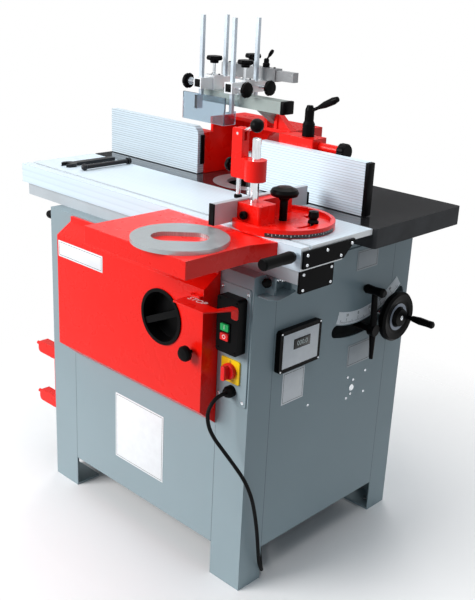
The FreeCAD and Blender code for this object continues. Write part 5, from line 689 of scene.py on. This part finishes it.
# Trim pieces
class Trim:
    """Mesh put together from bevelled blocks and turned parts, in millimetres."""

    SHARP = math.radians(35)
    WELD = 0.001
    HEAD_RIM = 0.85
    HEAD_SIDE = 0.7
    SOCKET = 0.5
    SOCKET_SIDES = 6

    def __init__(self):
        self.mesh = bmesh.new()

    def _take(self, part, slot, place=Matrix.Identity(4)):
        """Adds a part to the mesh, with the number of its material."""
        for face in part.faces:
            face.material_index = slot
        bmesh.ops.transform(part, matrix=place, verts=part.verts)
        copy = bpy.data.meshes.new("scratch")
        part.to_mesh(copy)
        part.free()
        self.mesh.from_mesh(copy)
        bpy.data.meshes.remove(copy)

    def block(self, corner, other, edge, slot=0):
        """Block between two opposite corners, with its edges rounded."""
        corner = Vector(corner)
        other = Vector(other)
        size = Vector([abs(v) for v in other - corner])
        place = Matrix.Translation((corner + other) / 2) @ Matrix.Diagonal(size.to_4d())
        part = bmesh.new()
        bmesh.ops.create_cube(part, size=1.0, matrix=place)
        if edge > 0:
            bmesh.ops.bevel(
                part, geom=part.edges[:], offset=edge, segments=2, affect="EDGES", profile=0.5)
        self._take(part, slot)

    def turned(self, outline, place, axis, slot=0, count=24):
        """Outline of (radius, height) pairs turned round an axis from a place."""
        part = bmesh.new()
        angles = [2 * math.pi * k / count for k in range(count)]
        rings = []
        for radius, height in outline:
            if radius == 0:
                rings.append([part.verts.new((0, 0, height))])
                continue
            rings.append([
                part.verts.new((radius * math.cos(a), radius * math.sin(a), height)) for a in angles])
        for first, second in zip(rings, rings[1:]):
            for k in range(count):
                quad = [first[k % len(first)], first[(k + 1) % len(first)],
                        second[(k + 1) % len(second)], second[k % len(second)]]
                part.faces.new([v for i, v in enumerate(quad) if v not in quad[:i]])
        bmesh.ops.remove_doubles(part, verts=part.verts[:], dist=self.WELD)
        bmesh.ops.recalc_face_normals(part, faces=part.faces[:])
        self._take(part, slot, Matrix.Translation(Vector(place)) @ rotation_to(axis))

    def screw(self, place, axis, radius, height, slot=0):
        """Socket head: chamfered rim and a sunk hexagon."""
        socket = radius * self.SOCKET
        floor_height = height * self.SOCKET
        head = [(radius, 0), (radius, height * self.HEAD_SIDE), (radius * self.HEAD_RIM, height),
                (socket, height)]
        self.turned(head, place, axis, slot)
        hexagon = [(socket, height), (socket, floor_height), (0, floor_height)]
        self.turned(hexagon, place, axis, slot, self.SOCKET_SIDES)

    def swept(self, point, radii, levels, degrees, slot=0, steps=40):
        """Strip between two radii and two levels, swept round an axis; point places a corner."""
        (inner, outer), (low, high) = radii, levels
        section = ((inner, low), (outer, low), (outer, high), (inner, high))
        start, end = degrees
        part = bmesh.new()
        rows = []
        for k in range(steps + 1):
            angle = math.radians(start + (end - start) * k / steps)
            rows.append([part.verts.new(point(radius, angle, level)) for radius, level in section])
        for first, second in zip(rows, rows[1:]):
            for k in range(4):
                part.faces.new([first[k], first[(k + 1) % 4], second[(k + 1) % 4], second[k]])
        part.faces.new(rows[0])
        part.faces.new(rows[-1])
        bmesh.ops.recalc_face_normals(part, faces=part.faces[:])
        self._take(part, slot)

    def piece(self, name, body, materials, slot=None):
        """Finished piece that rides on a body."""
        bmesh.ops.scale(self.mesh, vec=(MM, MM, MM), verts=self.mesh.verts)
        data = bpy.data.meshes.new(name)
        self.mesh.to_mesh(data)
        self.mesh.free()
        for material in materials:
            data.materials.append(material)
        data.shade_smooth()
        data.set_sharp_from_angle(angle=self.SHARP)
        item = add_object(name, data)
        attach(item, body)
        return item


def add_object(name, data):
    """New object in the scene."""
    item = bpy.data.objects.new(name, data)
    bpy.context.scene.collection.objects.link(item)
    return item


def rotation_to(axis):
    """Rotation that takes Z to the axis."""
    return Vector(UP).rotation_difference(Vector(axis)).to_matrix().to_4x4()


def box_mm(name):
    """Low and high corner of a node."""
    return [Vector(corner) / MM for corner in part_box(name)]


def round_mitre(radius, angle, z):
    """Point round the upright axis of the mitre gauge."""
    return (MITRE_X + radius * math.cos(angle), MITRE_Y + radius * math.sin(angle), z)


def round_tilt(radius, angle, x):
    """Point round the tilt axis, with the angle from straight down."""
    return (x, TILT_Y + radius * math.sin(angle), TILT_Z - radius * math.cos(angle))


def lettering(name, text, size, place, right, up, body, material):
    """Flat raised figures or a plain word, centred on a place."""
    data = bpy.data.curves.new(name, "FONT")
    data.body = text
    data.size = size * MM
    data.align_x = "CENTER"
    data.align_y = "CENTER"
    data.extrude = LETTER_DEPTH * MM
    data.materials.append(material)
    item = add_object(name, data)
    right = Vector(right).normalized()
    up = Vector(up).normalized()
    turn = Matrix((right, up, right.cross(up))).transposed().to_4x4()
    item.matrix_world = Matrix.Translation(Vector(place) * MM) @ turn
    bpy.context.view_layer.update()
    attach(item, body)


def border(across, upwards, line):
    """Spans of the four strips along the sides of a rectangle."""
    (left, right), (low, high) = across, upwards
    return (
        (across, (low, low + line)), (across, (high - line, high)),
        ((left, left + line), upwards), ((right - line, right), upwards))


def bordered_plate(name, spans, line, point, body, materials):
    """Bare plate with a thin printed border; point gives a place so far out of its panel."""
    (left, right), (low, high) = spans
    trim = Trim()
    trim.block(point(left, 0, low), point(right, PLATE_THICK, high), PLATE_EDGE)
    across = (left + BORDER_INSET, right - BORDER_INSET)
    upwards = (low + BORDER_INSET, high - BORDER_INSET)
    for (a0, a1), (z0, z1) in border(across, upwards, line):
        trim.block(point(a0, PLATE_THICK, z0), point(a1, PLATE_THICK + INK_THICK, z1), edge=0, slot=1)
    trim.piece(name, body, materials)


def plates():
    """Bare plates on the right panel, on the front and on the cover."""
    def on_side(across, out, z):
        return (SIDE_FACE + out, across, z)

    def on_front(across, out, z):
        return (across, FRONT_FACE - out, z)

    def on_cover(across, out, z):
        return (across, COVER_FACE - out, z)

    silver = [SILVER_PLATE, INK]
    white = [PLATE, INK]
    bordered_plate("rating_plate", RATING_PLATE, FINE_LINE, on_side, "cabinet", white)
    bordered_plate("upper_side_plate", UPPER_SIDE_PLATE, FINE_LINE, on_side, "cabinet", silver)
    bordered_plate("lever_plate", LEVER_PLATE, BOLD_LINE, on_side, "cabinet", silver)
    bordered_plate("front_plate", FRONT_PLATE, BOLD_LINE, on_front, "cabinet", white)
    bordered_plate("cover_plate", COVER_PLATE, FINE_LINE, on_cover, "front_cover", white)


def tilt_scale():
    """White arc scale over the slot, with degree marks and plain figures."""
    face = SIDE_FACE + PLATE_THICK
    _, outer = TILT_SCALE_R
    trim = Trim()
    trim.swept(round_tilt, TILT_SCALE_R, (SIDE_FACE, face), TILT_SCALE_SPAN)
    for deg in TILT_MARKS:
        reach = TEN_MARK if deg % 10 == 0 else FIVE_MARK if deg % 5 == 0 else ONE_MARK
        trim.swept(
            round_tilt, (outer - reach, outer - TILT_MARK_RIM), (face, face + INK_THICK),
            (deg - TILT_MARK_HALF, deg + TILT_MARK_HALF), slot=1, steps=1)
    trim.piece("tilt_scale", "cabinet", [SCALE_WHITE, INK])
    for deg in TILT_FIGURES:
        a = math.radians(deg)
        name = f"scale_figure_{deg - TILT_FIGURES[0]}"
        place = round_tilt(outer - TILT_FIGURE_INSET, a, face + INK_GAP)
        right = (0, math.cos(a), math.sin(a))
        up = (0, -math.sin(a), math.cos(a))
        lettering(name, str(abs(deg)), TILT_FIGURE_SIZE, place, right, up, "cabinet", INK)


def readout_face():
    """White front, display window with plain figures and corner screws."""
    low, high = box_mm("readout")
    case = high.x
    face = case + PLATE_THICK
    left, right = low.y + READOUT_RIM, high.y - READOUT_RIM
    foot, head = low.z + READOUT_RIM, high.z - READOUT_RIM
    wide = right - left
    tall = head - foot
    middle = left + WINDOW_ACROSS * wide
    level = head - WINDOW_DOWN * tall
    half = WINDOW_HALF_WIDE * wide
    rise = WINDOW_HALF_TALL * tall
    window = face + WINDOW_TALL
    glass = window + GLASS_TALL
    trim = Trim()
    trim.block((case, left, foot), (face, right, head), PLATE_EDGE)
    trim.block(
        (face, middle - half, level - rise), (window, middle + half, level + rise), edge=0.4, slot=1)
    half_glass = half - WINDOW_FRAME
    rise_glass = rise - WINDOW_FRAME
    trim.block(
        (window, middle - half_glass, level - rise_glass),
        (glass, middle + half_glass, level + rise_glass), edge=0.1, slot=2)
    inset = READOUT_RIM / 2
    for y in (low.y + inset, high.y - inset):
        for z in (low.z + inset, high.z - inset):
            trim.screw((case, y, z), RIGHT, radius=2.2, height=1.4, slot=3)
    trim.piece("readout_face", "cabinet", [PLATE, BLACK_PLASTIC, GLASS, BRIGHT])
    place = (glass + INK_GAP / 2, middle, level)
    lettering(
        "readout_figures", "000.0", WINDOW_FIGURES * rise, place, BACKWARD, UP, "cabinet", LIT_INK)


def switch_screws():
    """Screws of the switch plate and of the switch's case."""
    case = box_mm("switch_box")[0].y
    trim = Trim()
    for x, z in SWITCH_PLATE_SCREWS:
        trim.screw((x, SWITCH_FACE, z), FORWARD, radius=4.2, height=2.6)
    for z in CASE_SCREW_Z:
        for x in CASE_SCREW_X:
            trim.screw((x, case, z), FORWARD, radius=3.0, height=1.2, slot=1)
    trim.piece("switch_screws", "cabinet", [BRIGHT, BLACK_PLASTIC])


def button_bezel():
    """Raised rim round the two buttons."""
    case = box_mm("switch_box")[0].y
    start_low, start_high = box_mm("start_button")
    stop_low = box_mm("stop_button")[0]
    across = (start_low.x - BUTTON_GAP, start_high.x + BUTTON_GAP)
    upwards = (stop_low.z - BUTTON_GAP, start_high.z + BUTTON_GAP)
    trim = Trim()
    for (x0, x1), (z0, z1) in border(across, upwards, BUTTON_RIM):
        trim.block((x0, case - BUTTON_RIM_TALL, z0), (x1, case, z1), edge=0.5)
    trim.piece("button_bezel", "cabinet", [BLACK_PLASTIC])


def switch_marks():
    """Marks on the two buttons and on the isolator's plate."""
    for button, mark in (("start", "I"), ("stop", "O")):
        body = f"{button}_button"
        low, high = box_mm(body)
        place = ((low.x + high.x) / 2, low.y - INK_GAP, (low.z + high.z) / 2)
        lettering(f"{button}_mark", mark, BUTTON_MARK_SIZE, place, RIGHT, UP, body, WHITE_INK)
    for name, mark, (x, z) in (("isolator_on", "1", ISOLATOR_ON), ("isolator_off", "0", ISOLATOR_OFF)):
        place = (x, ISOLATOR_FACE - INK_GAP, z)
        lettering(name, mark, ISOLATOR_MARK_SIZE, place, RIGHT, UP, "cabinet", INK)


def stop_word():
    """Word on top of the stop flap."""
    low, high = box_mm("stop_flap")
    place = (low.x + STOP_WORD_SHARE * (high.x - low.x), STOP_WORD_Y, high.z + INK_GAP)
    lettering("stop_word", "STOP", STOP_WORD_SIZE, place, RIGHT, BACKWARD, "stop_flap", WHITE_INK)


def black_piece(trim, name, body):
    """Finished piece of plain black plastic."""
    trim.piece(name, body, [BLACK_PLASTIC], "black_plastic")


def end_caps():
    """Black plastic caps on the ends of the extrusions."""
    low, high = box_mm("infeed_fence")
    trim = Trim()
    trim.block((high.x, low.y, low.z), (high.x + INFEED_CAP, high.y, high.z), edge=2.0)
    black_piece(trim, "infeed_cap", "infeed_fence")
    low, high = box_mm("outfeed_fence")
    trim = Trim()
    trim.block(
        (high.x, low.y + OUTFEED_CAP_FRONT, low.z + OUTFEED_CAP_FOOT),
        (high.x + OUTFEED_CAP, high.y, high.z - OUTFEED_CAP_HEAD), edge=1.0)
    black_piece(trim, "outfeed_cap", "outfeed_fence")
    low, high = box_mm("mitre_fence")
    left, right = MITRE_FENCE_X
    left -= MITRE_CAP_PROUD
    trim = Trim()
    trim.block(
        (left, low.y - MITRE_CAP_FRONT, low.z), (right, low.y, high.z + MITRE_CAP_PROUD), edge=0.8)
    trim.block(
        (left, high.y, low.z), (right, high.y + MITRE_CAP_REAR, low.z + MITRE_CAP_REAR_TALL), edge=0.8)
    black_piece(trim, "mitre_fence_caps", "mitre_gauge")
    low, high = box_mm("guard_beam")
    trim = Trim()
    for end, (inner, outer) in ((high.x, BEAM_CAP_RIGHT), (low.x, BEAM_CAP_LEFT)):
        trim.block((end + inner, BEAM_Y[0], BEAM_Z[0]), (end + outer, BEAM_Y[1], BEAM_Z[1]), edge=2.0)
    black_piece(trim, "beam_caps", "guard_beam")


def guard_details():
    """Slits and set screws on the sleeves, set screws along the rear beam, and plugs in the arms."""
    front, rear = SLEEVE_SLIT_Y
    trim = Trim()
    for x in ARM_X:
        trim.block(
            (x - SLEEVE_SLIT_HALF, front, SLEEVE_TOP),
            (x + SLEEVE_SLIT_HALF, rear, SLEEVE_TOP + SLEEVE_SLIT_TALL), edge=0.1)
        for screw_x in (x - SLEEVE_SCREW_OFF, x + SLEEVE_SCREW_OFF):
            trim.screw((screw_x, SLEEVE_SCREW_Y, SLEEVE_TOP), UP, radius=2.6, height=2.4)
    black_piece(trim, "sleeve_screws", "guard_beam")
    trim = Trim()
    for x in REAR_SCREW_X:
        trim.screw((x, REAR_SCREW_Y, REAR_BEAM_TOP), UP, radius=3.0, height=3.0)
    black_piece(trim, "rear_beam_screws", "pressure_frame")
    low, high = ARM_HOLE_Z
    front, rear = ARM_PLUG_Y
    middle = (low + high) / 2
    boss = ARM_PLUG_BOSS_HALF
    trim = Trim()
    for x in ARM_X:
        trim.block((x - ARM_HOLE_HALF, front, low), (x + ARM_HOLE_HALF, rear, high), edge=0.8)
        trim.block(
            (x - boss, front - ARM_PLUG_BOSS_TALL, middle - boss),
            (x + boss, front, middle + boss), edge=0.2)
    black_piece(trim, "arm_plugs", "pressure_frame")


def plate_bolts():
    """Bolts of the table and rail end plates."""
    face = box_mm("table_end_plates")[1].x
    trim = Trim()
    for y, z in TABLE_PLATE_BOLTS:
        trim.screw((face, y, z), RIGHT, BOLT_R, BOLT_TALL)
    trim.piece("table_plate_bolts", "sliding_table", [BRIGHT], "chrome")
    face = box_mm("rail_end_plate")[1].x
    trim = Trim()
    for y in RAIL_BOLT_Y:
        for z in RAIL_BOLT_Z:
            trim.screw((face, y, z), RIGHT, BOLT_R, BOLT_TALL)
    trim.piece("rail_plate_bolts", "cabinet", [BRIGHT], "chrome")


def mitre_scale():
    """Black strip round the front of the protractor with white marks."""
    face = MITRE_RIM + MITRE_STRIP_THICK
    high = MITRE_STRIP_Z[1]
    trim = Trim()
    trim.swept(round_mitre, (MITRE_RIM, face), MITRE_STRIP_Z, MITRE_STRIP_SPAN)
    for deg in MITRE_MARKS:
        tall = MITRE_LONG_MARK if deg % 10 == 0 else MITRE_SHORT_MARK
        trim.swept(
            round_mitre, (face, face + INK_THICK), (high - tall, high - MITRE_STRIP_THICK),
            (deg - MITRE_MARK_HALF, deg + MITRE_MARK_HALF), slot=1, steps=1)
    trim.piece("mitre_scale", "mitre_gauge", [INK, WHITE_INK])


def column_screw():
    """Black clamping screw in the front of the block under the column."""
    trim = Trim()
    trim.turned(COLUMN_SCREW_OUTLINE, COLUMN_SCREW, FORWARD, count=12)
    black_piece(trim, "column_screw", "mitre_gauge")


def wheel_trim():
    """Pale ring on the handwheel's web, and the screw in the end of its hub."""
    inner, outer = WHEEL_RING_R
    thick = WHEEL_RING_THICK
    ring = [
        (inner, -thick), (inner, thick), (outer, thick + WHEEL_RING_SLOPE), (outer, -thick),
        (inner, -thick)]
    trim = Trim()
    trim.turned(ring, (WHEEL_WEB, WHEEL_Y, WHEEL_Z), RIGHT, count=48)
    trim.screw((WHEEL_HUB_END, WHEEL_Y, WHEEL_Z), RIGHT, radius=6.0, height=2.5, slot=1)
    trim.piece("wheel_trim", "handwheel", [WHEEL_RING, BRIGHT])


def side_screws():
    """Screws of the gear bearing on the right panel, and the round head of its pin."""
    trim = Trim()
    for y, z in SIDE_SCREWS:
        trim.screw((SIDE_FACE, y, z), RIGHT, BOLT_R, SIDE_SCREW_TALL)
    trim.turned(GEAR_PIN_HEAD, (SIDE_FACE, *GEAR_PIN), RIGHT)
    trim.piece("side_screws", "cabinet", [BRIGHT], "chrome")


def seams():
    """Joint lines between the corner posts and the panels."""
    low, high = SEAM_Z
    gap_low, gap_high = SEAM_WHEEL_GAP
    trim = Trim()

    def side_seam(face, out, y, z0, z1):
        trim.block((face, y - SEAM_HALF, z0), (face + out, y + SEAM_HALF, z1), edge=0)

    def front_seam(face, out, x, z0, z1):
        trim.block((x - SEAM_HALF, face, z0), (x + SEAM_HALF, face + out, z1), edge=0)

    for y, z0, z1 in ((-SEAM_Y, low, high), (SEAM_Y, low, gap_low), (SEAM_Y, gap_high, high)):
        side_seam(SIDE_FACE, INK_THICK, y, z0, z1)
    for y in (-SEAM_Y, SEAM_Y):
        side_seam(-SIDE_FACE, -INK_THICK, y, low, high)
    for x in (-SEAM_X, SEAM_X):
        front_seam(FRONT_FACE, -INK_THICK, x, low, SEAM_FRONT_TOP)
        front_seam(-FRONT_FACE, INK_THICK, x, low, high)
    trim.piece("panel_seams", "cabinet", [SEAM])


def left_knob():
    """Small clamping knob at the left front edge of the guide rail."""
    trim = Trim()
    trim.turned(LEFT_KNOB_STUD, LEFT_KNOB, LEFT, slot=1)
    trim.turned(LEFT_KNOB_OUTLINE, LEFT_KNOB, LEFT)
    trim.piece("left_knob", "cabinet", [BLACK_PLASTIC, BRIGHT])


# Mains lead
def smooth_step(t):
    """Smooth rise from 0 to 1."""
    t = min(max(t, 0.0), 1.0)
    return t * t * (3 - 2 * t)


def cord_route():
    """The bend at the gland, the run beside the post and the run under the cabinet."""
    x, y, z = GLAND
    points = [GLAND]
    for k in range(CORD_BEND_STEPS + 1):
        a = math.pi / 2 * k / CORD_BEND_STEPS
        out = CORD_LEAD + CORD_BEND_R * math.sin(a)
        points.append((x, y - out, z - CORD_BEND_R * (1 - math.cos(a))))
    points += [(x + right, y - out, z * share) for right, out, share in CORD_HANG]
    return points + [(*place, CORD_R) for place in CORD_FLOOR]


def coil_points():
    """Three turns wound outwards and up in two layers, then the straight tail; and the middle."""
    end_x, end_y = CORD_FLOOR[-1]
    start = math.atan2(CORD_FLOOR[-2][0] - end_x, end_y - CORD_FLOOR[-2][1])
    outer = COIL_R + COIL_PITCH * COIL_TURNS / 4
    centre_x = end_x - outer * math.cos(start)
    centre_y = end_y - outer * math.sin(start)
    points = []
    for k in range(1, COIL_TURNS * COIL_STEPS + 1):
        t = k / COIL_STEPS
        angle = start + 2 * math.pi * t
        offset = t - COIL_TURNS / 2
        lift = smooth_step(offset + 0.5)
        reach = COIL_R + COIL_PITCH * (math.sqrt(offset * offset + COIL_EASE) - COIL_TURNS / 4)
        x = centre_x + reach * math.cos(angle)
        y = centre_y + reach * math.sin(angle)
        points.append((x, y, CORD_R + COIL_PITCH * lift))
    end = start + 2 * math.pi * COIL_TURNS
    last_x, last_y, last_z = points[-1]
    for share in COIL_TAIL_SHARES:
        step = COIL_TAIL * share
        points.append((last_x - step * math.sin(end), last_y + step * math.cos(end), last_z))
    return points, (centre_x, centre_y)


def cord_tie(centre):
    """Tie round the coil: strap over it, two legs and the lock."""
    x, y = centre
    outer = x - COIL_R - TIE_OUTSIDE
    inner = x - COIL_R + TIE_INSIDE
    over = CORD_DIAMETER + COIL_PITCH + TIE_SLACK
    top = over + TIE_THICK
    front, rear = y - TIE_HALF, y + TIE_HALF
    trim = Trim()
    trim.block((outer, front, over), (inner, rear, top), edge=0.3)
    trim.block((outer - TIE_THICK, front, TIE_FOOT), (outer, rear, top), edge=0.3)
    trim.block((inner, front, TIE_FOOT), (inner + TIE_THICK, rear, top), edge=0.3)
    trim.block(
        (outer - TIE_LOCK_LONG, y - TIE_LOCK_HALF, over - TIE_LOCK_RISE),
        (outer, y + TIE_LOCK_HALF, over + TIE_LOCK_RISE), edge=0.6)
    return trim.piece("cord_tie", "cabinet", [BLACK_PLASTIC])


def mains_lead():
    """The lead as one tube from the gland to the plug, with a tie on its coil."""
    wound, centre = coil_points()
    route = cord_route() + wound
    data = bpy.data.curves.new("mains_lead", "CURVE")
    data.dimensions = "3D"
    data.bevel_depth = CORD_R * MM
    data.bevel_resolution = 5
    data.use_fill_caps = True
    spline = data.splines.new("NURBS")
    spline.points.add(len(route) - 1)
    for point, place in zip(spline.points, route):
        point.co = (*(v * MM for v in place), 1.0)
    spline.order_u = 3
    spline.use_endpoint_u = True
    spline.resolution_u = 6
    data.materials.append(RUBBER)
    lead = add_object("mains_lead", data)
    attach(lead, "cabinet")
    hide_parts("power_cord", "cord_coil")
    tie = cord_tie(centre)


# Floor, light and camera
def stage_sheet(name, corners, material):
    """Flat sheet of the studio, which is no part of the machine."""
    data = bpy.data.meshes.new(name)
    data.from_pydata(corners, [], [(0, 1, 2, 3)])
    data.materials.append(material)
    item = add_object(name, data)
    return item


def floor():
    """Pale floor that keeps the machine's shadow."""
    finish = Finish("floor_finish", FLOOR_WHITE, rough=0.85)
    finish.tones(finish.noise(scale=0.8), FLOOR_WHITE, darkest=0.996, palest=1.008)
    finish.set(Specular_IOR_Level=0.1)
    fade_out(finish)
    half = FLOOR_HALF
    corners = [(-half, -half, 0), (half, -half, 0), (half, half, 0), (-half, half, 0)]
    stage_sheet("floor", corners, finish.mat)


def fade_out(finish):
    """Lets the floor run out into the white behind it."""
    reach = finish.node("ShaderNodeVectorMath")
    reach.operation = "LENGTH"
    finish.link(finish.coords, reach.inputs[0])
    clear = finish.node("ShaderNodeBsdfTransparent")
    mix = finish.node("ShaderNodeMixShader")
    finish.link(finish.ramp(reach.outputs["Value"], 0.0, 1.0, FLOOR_FADE), mix.inputs[0])
    finish.link(finish.bsdf.outputs[0], mix.inputs[1])
    finish.link(clear.outputs[0], mix.inputs[2])
    finish.link(mix.outputs[0], finish.tree.nodes["Material Output"].inputs["Surface"])


def dark_card():
    """Dark card behind the machine, seen only where polished faces mirror it."""
    left, right = CARD_SPAN
    corners = [
        (left, CARD_Y, 0), (right, CARD_Y, 0), (right, CARD_Y, CARD_TOP), (left, CARD_Y, CARD_TOP)]
    card = stage_sheet("dark_card", corners, CARD_CLOTH)
    card.visible_camera = False
    card.visible_diffuse = False
    card.visible_transmission = False
    card.visible_shadow = False


def world():
    """Even pale light from all round, and white where the camera, metal or glass sees the background."""
    scene = bpy.context.scene
    scene.world = bpy.data.worlds.new("studio")
    scene.world.use_nodes = True
    tree = scene.world.node_tree
    link = tree.links.new
    light = tree.nodes["Background"]
    light.inputs["Color"].default_value = AMBIENT_TINT
    light.inputs["Strength"].default_value = AMBIENT_STRENGTH
    white = tree.nodes.new("ShaderNodeBackground")
    white.inputs["Color"].default_value = (*WHITE_LIGHT, 1.0)
    white.inputs["Strength"].default_value = 1.0
    path = tree.nodes.new("ShaderNodeLightPath")
    sees_white = path.outputs["Is Camera Ray"]
    for ray in ("Is Glossy Ray", "Is Transmission Ray"):
        either = tree.nodes.new("ShaderNodeMath")
        either.operation = "MAXIMUM"
        link(sees_white, either.inputs[0])
        link(path.outputs[ray], either.inputs[1])
        sees_white = either.outputs[0]
    mix = tree.nodes.new("ShaderNodeMixShader")
    link(sees_white, mix.inputs[0])
    link(light.outputs[0], mix.inputs[1])
    link(white.outputs[0], mix.inputs[2])
    link(mix.outputs[0], tree.nodes["World Output"].inputs["Surface"])


def soft_light(name, place, size, power, tint=WHITE_LIGHT, mirrored=True):
    """Rectangular lamp aimed at the middle of the machine."""
    data = bpy.data.lights.new(name, "AREA")
    data.shape = "RECTANGLE"
    data.size, data.size_y = size
    data.energy = power
    data.color = tint
    item = add_object(name, data)
    aim = Vector(LAMP_AIM) - Vector(place)
    item.matrix_world = Matrix.Translation(place) @ aim.to_track_quat("-Z", "Y").to_matrix().to_4x4()
    item.visible_glossy = mirrored


def lights():
    """All lamps of the studio."""
    for name, values in LAMPS.items():
        soft_light(name, **values)


def camera():
    """Camera that stands and looks as the photo's did."""
    az = math.radians(CAMERA_AZIMUTH)
    down = math.radians(CAMERA_DOWN)
    roll = math.radians(CAMERA_ROLL)
    right = Vector((math.cos(az), math.sin(az), 0))
    ahead = Vector((-math.sin(az) * math.cos(down), math.cos(az) * math.cos(down), -math.sin(down)))
    up = right.cross(ahead)
    side = right * math.cos(roll) + up * math.sin(roll)
    top = up * math.cos(roll) - right * math.sin(roll)
    data = bpy.data.cameras.new("camera")
    data.sensor_width = SENSOR
    data.lens = CAMERA_LENS
    data.clip_end = CAMERA_REACH
    item = add_object("camera", data)
    turn = Matrix((side, top, -ahead)).transposed().to_4x4()
    item.matrix_world = Matrix.Translation(CAMERA_PLACE) @ turn
    bpy.context.scene.camera = item


finish_nodes()
plates()
tilt_scale()
readout_face()
switch_screws()
button_bezel()
switch_marks()
stop_word()
end_caps()
guard_details()
plate_bolts()
mitre_scale()
column_screw()
wheel_trim()
side_screws()
seams()
left_knob()
mains_lead()
floor()
dark_card()
world()
lights()
camera()

scene = bpy.context.scene
scene.view_settings.view_transform = "Standard"
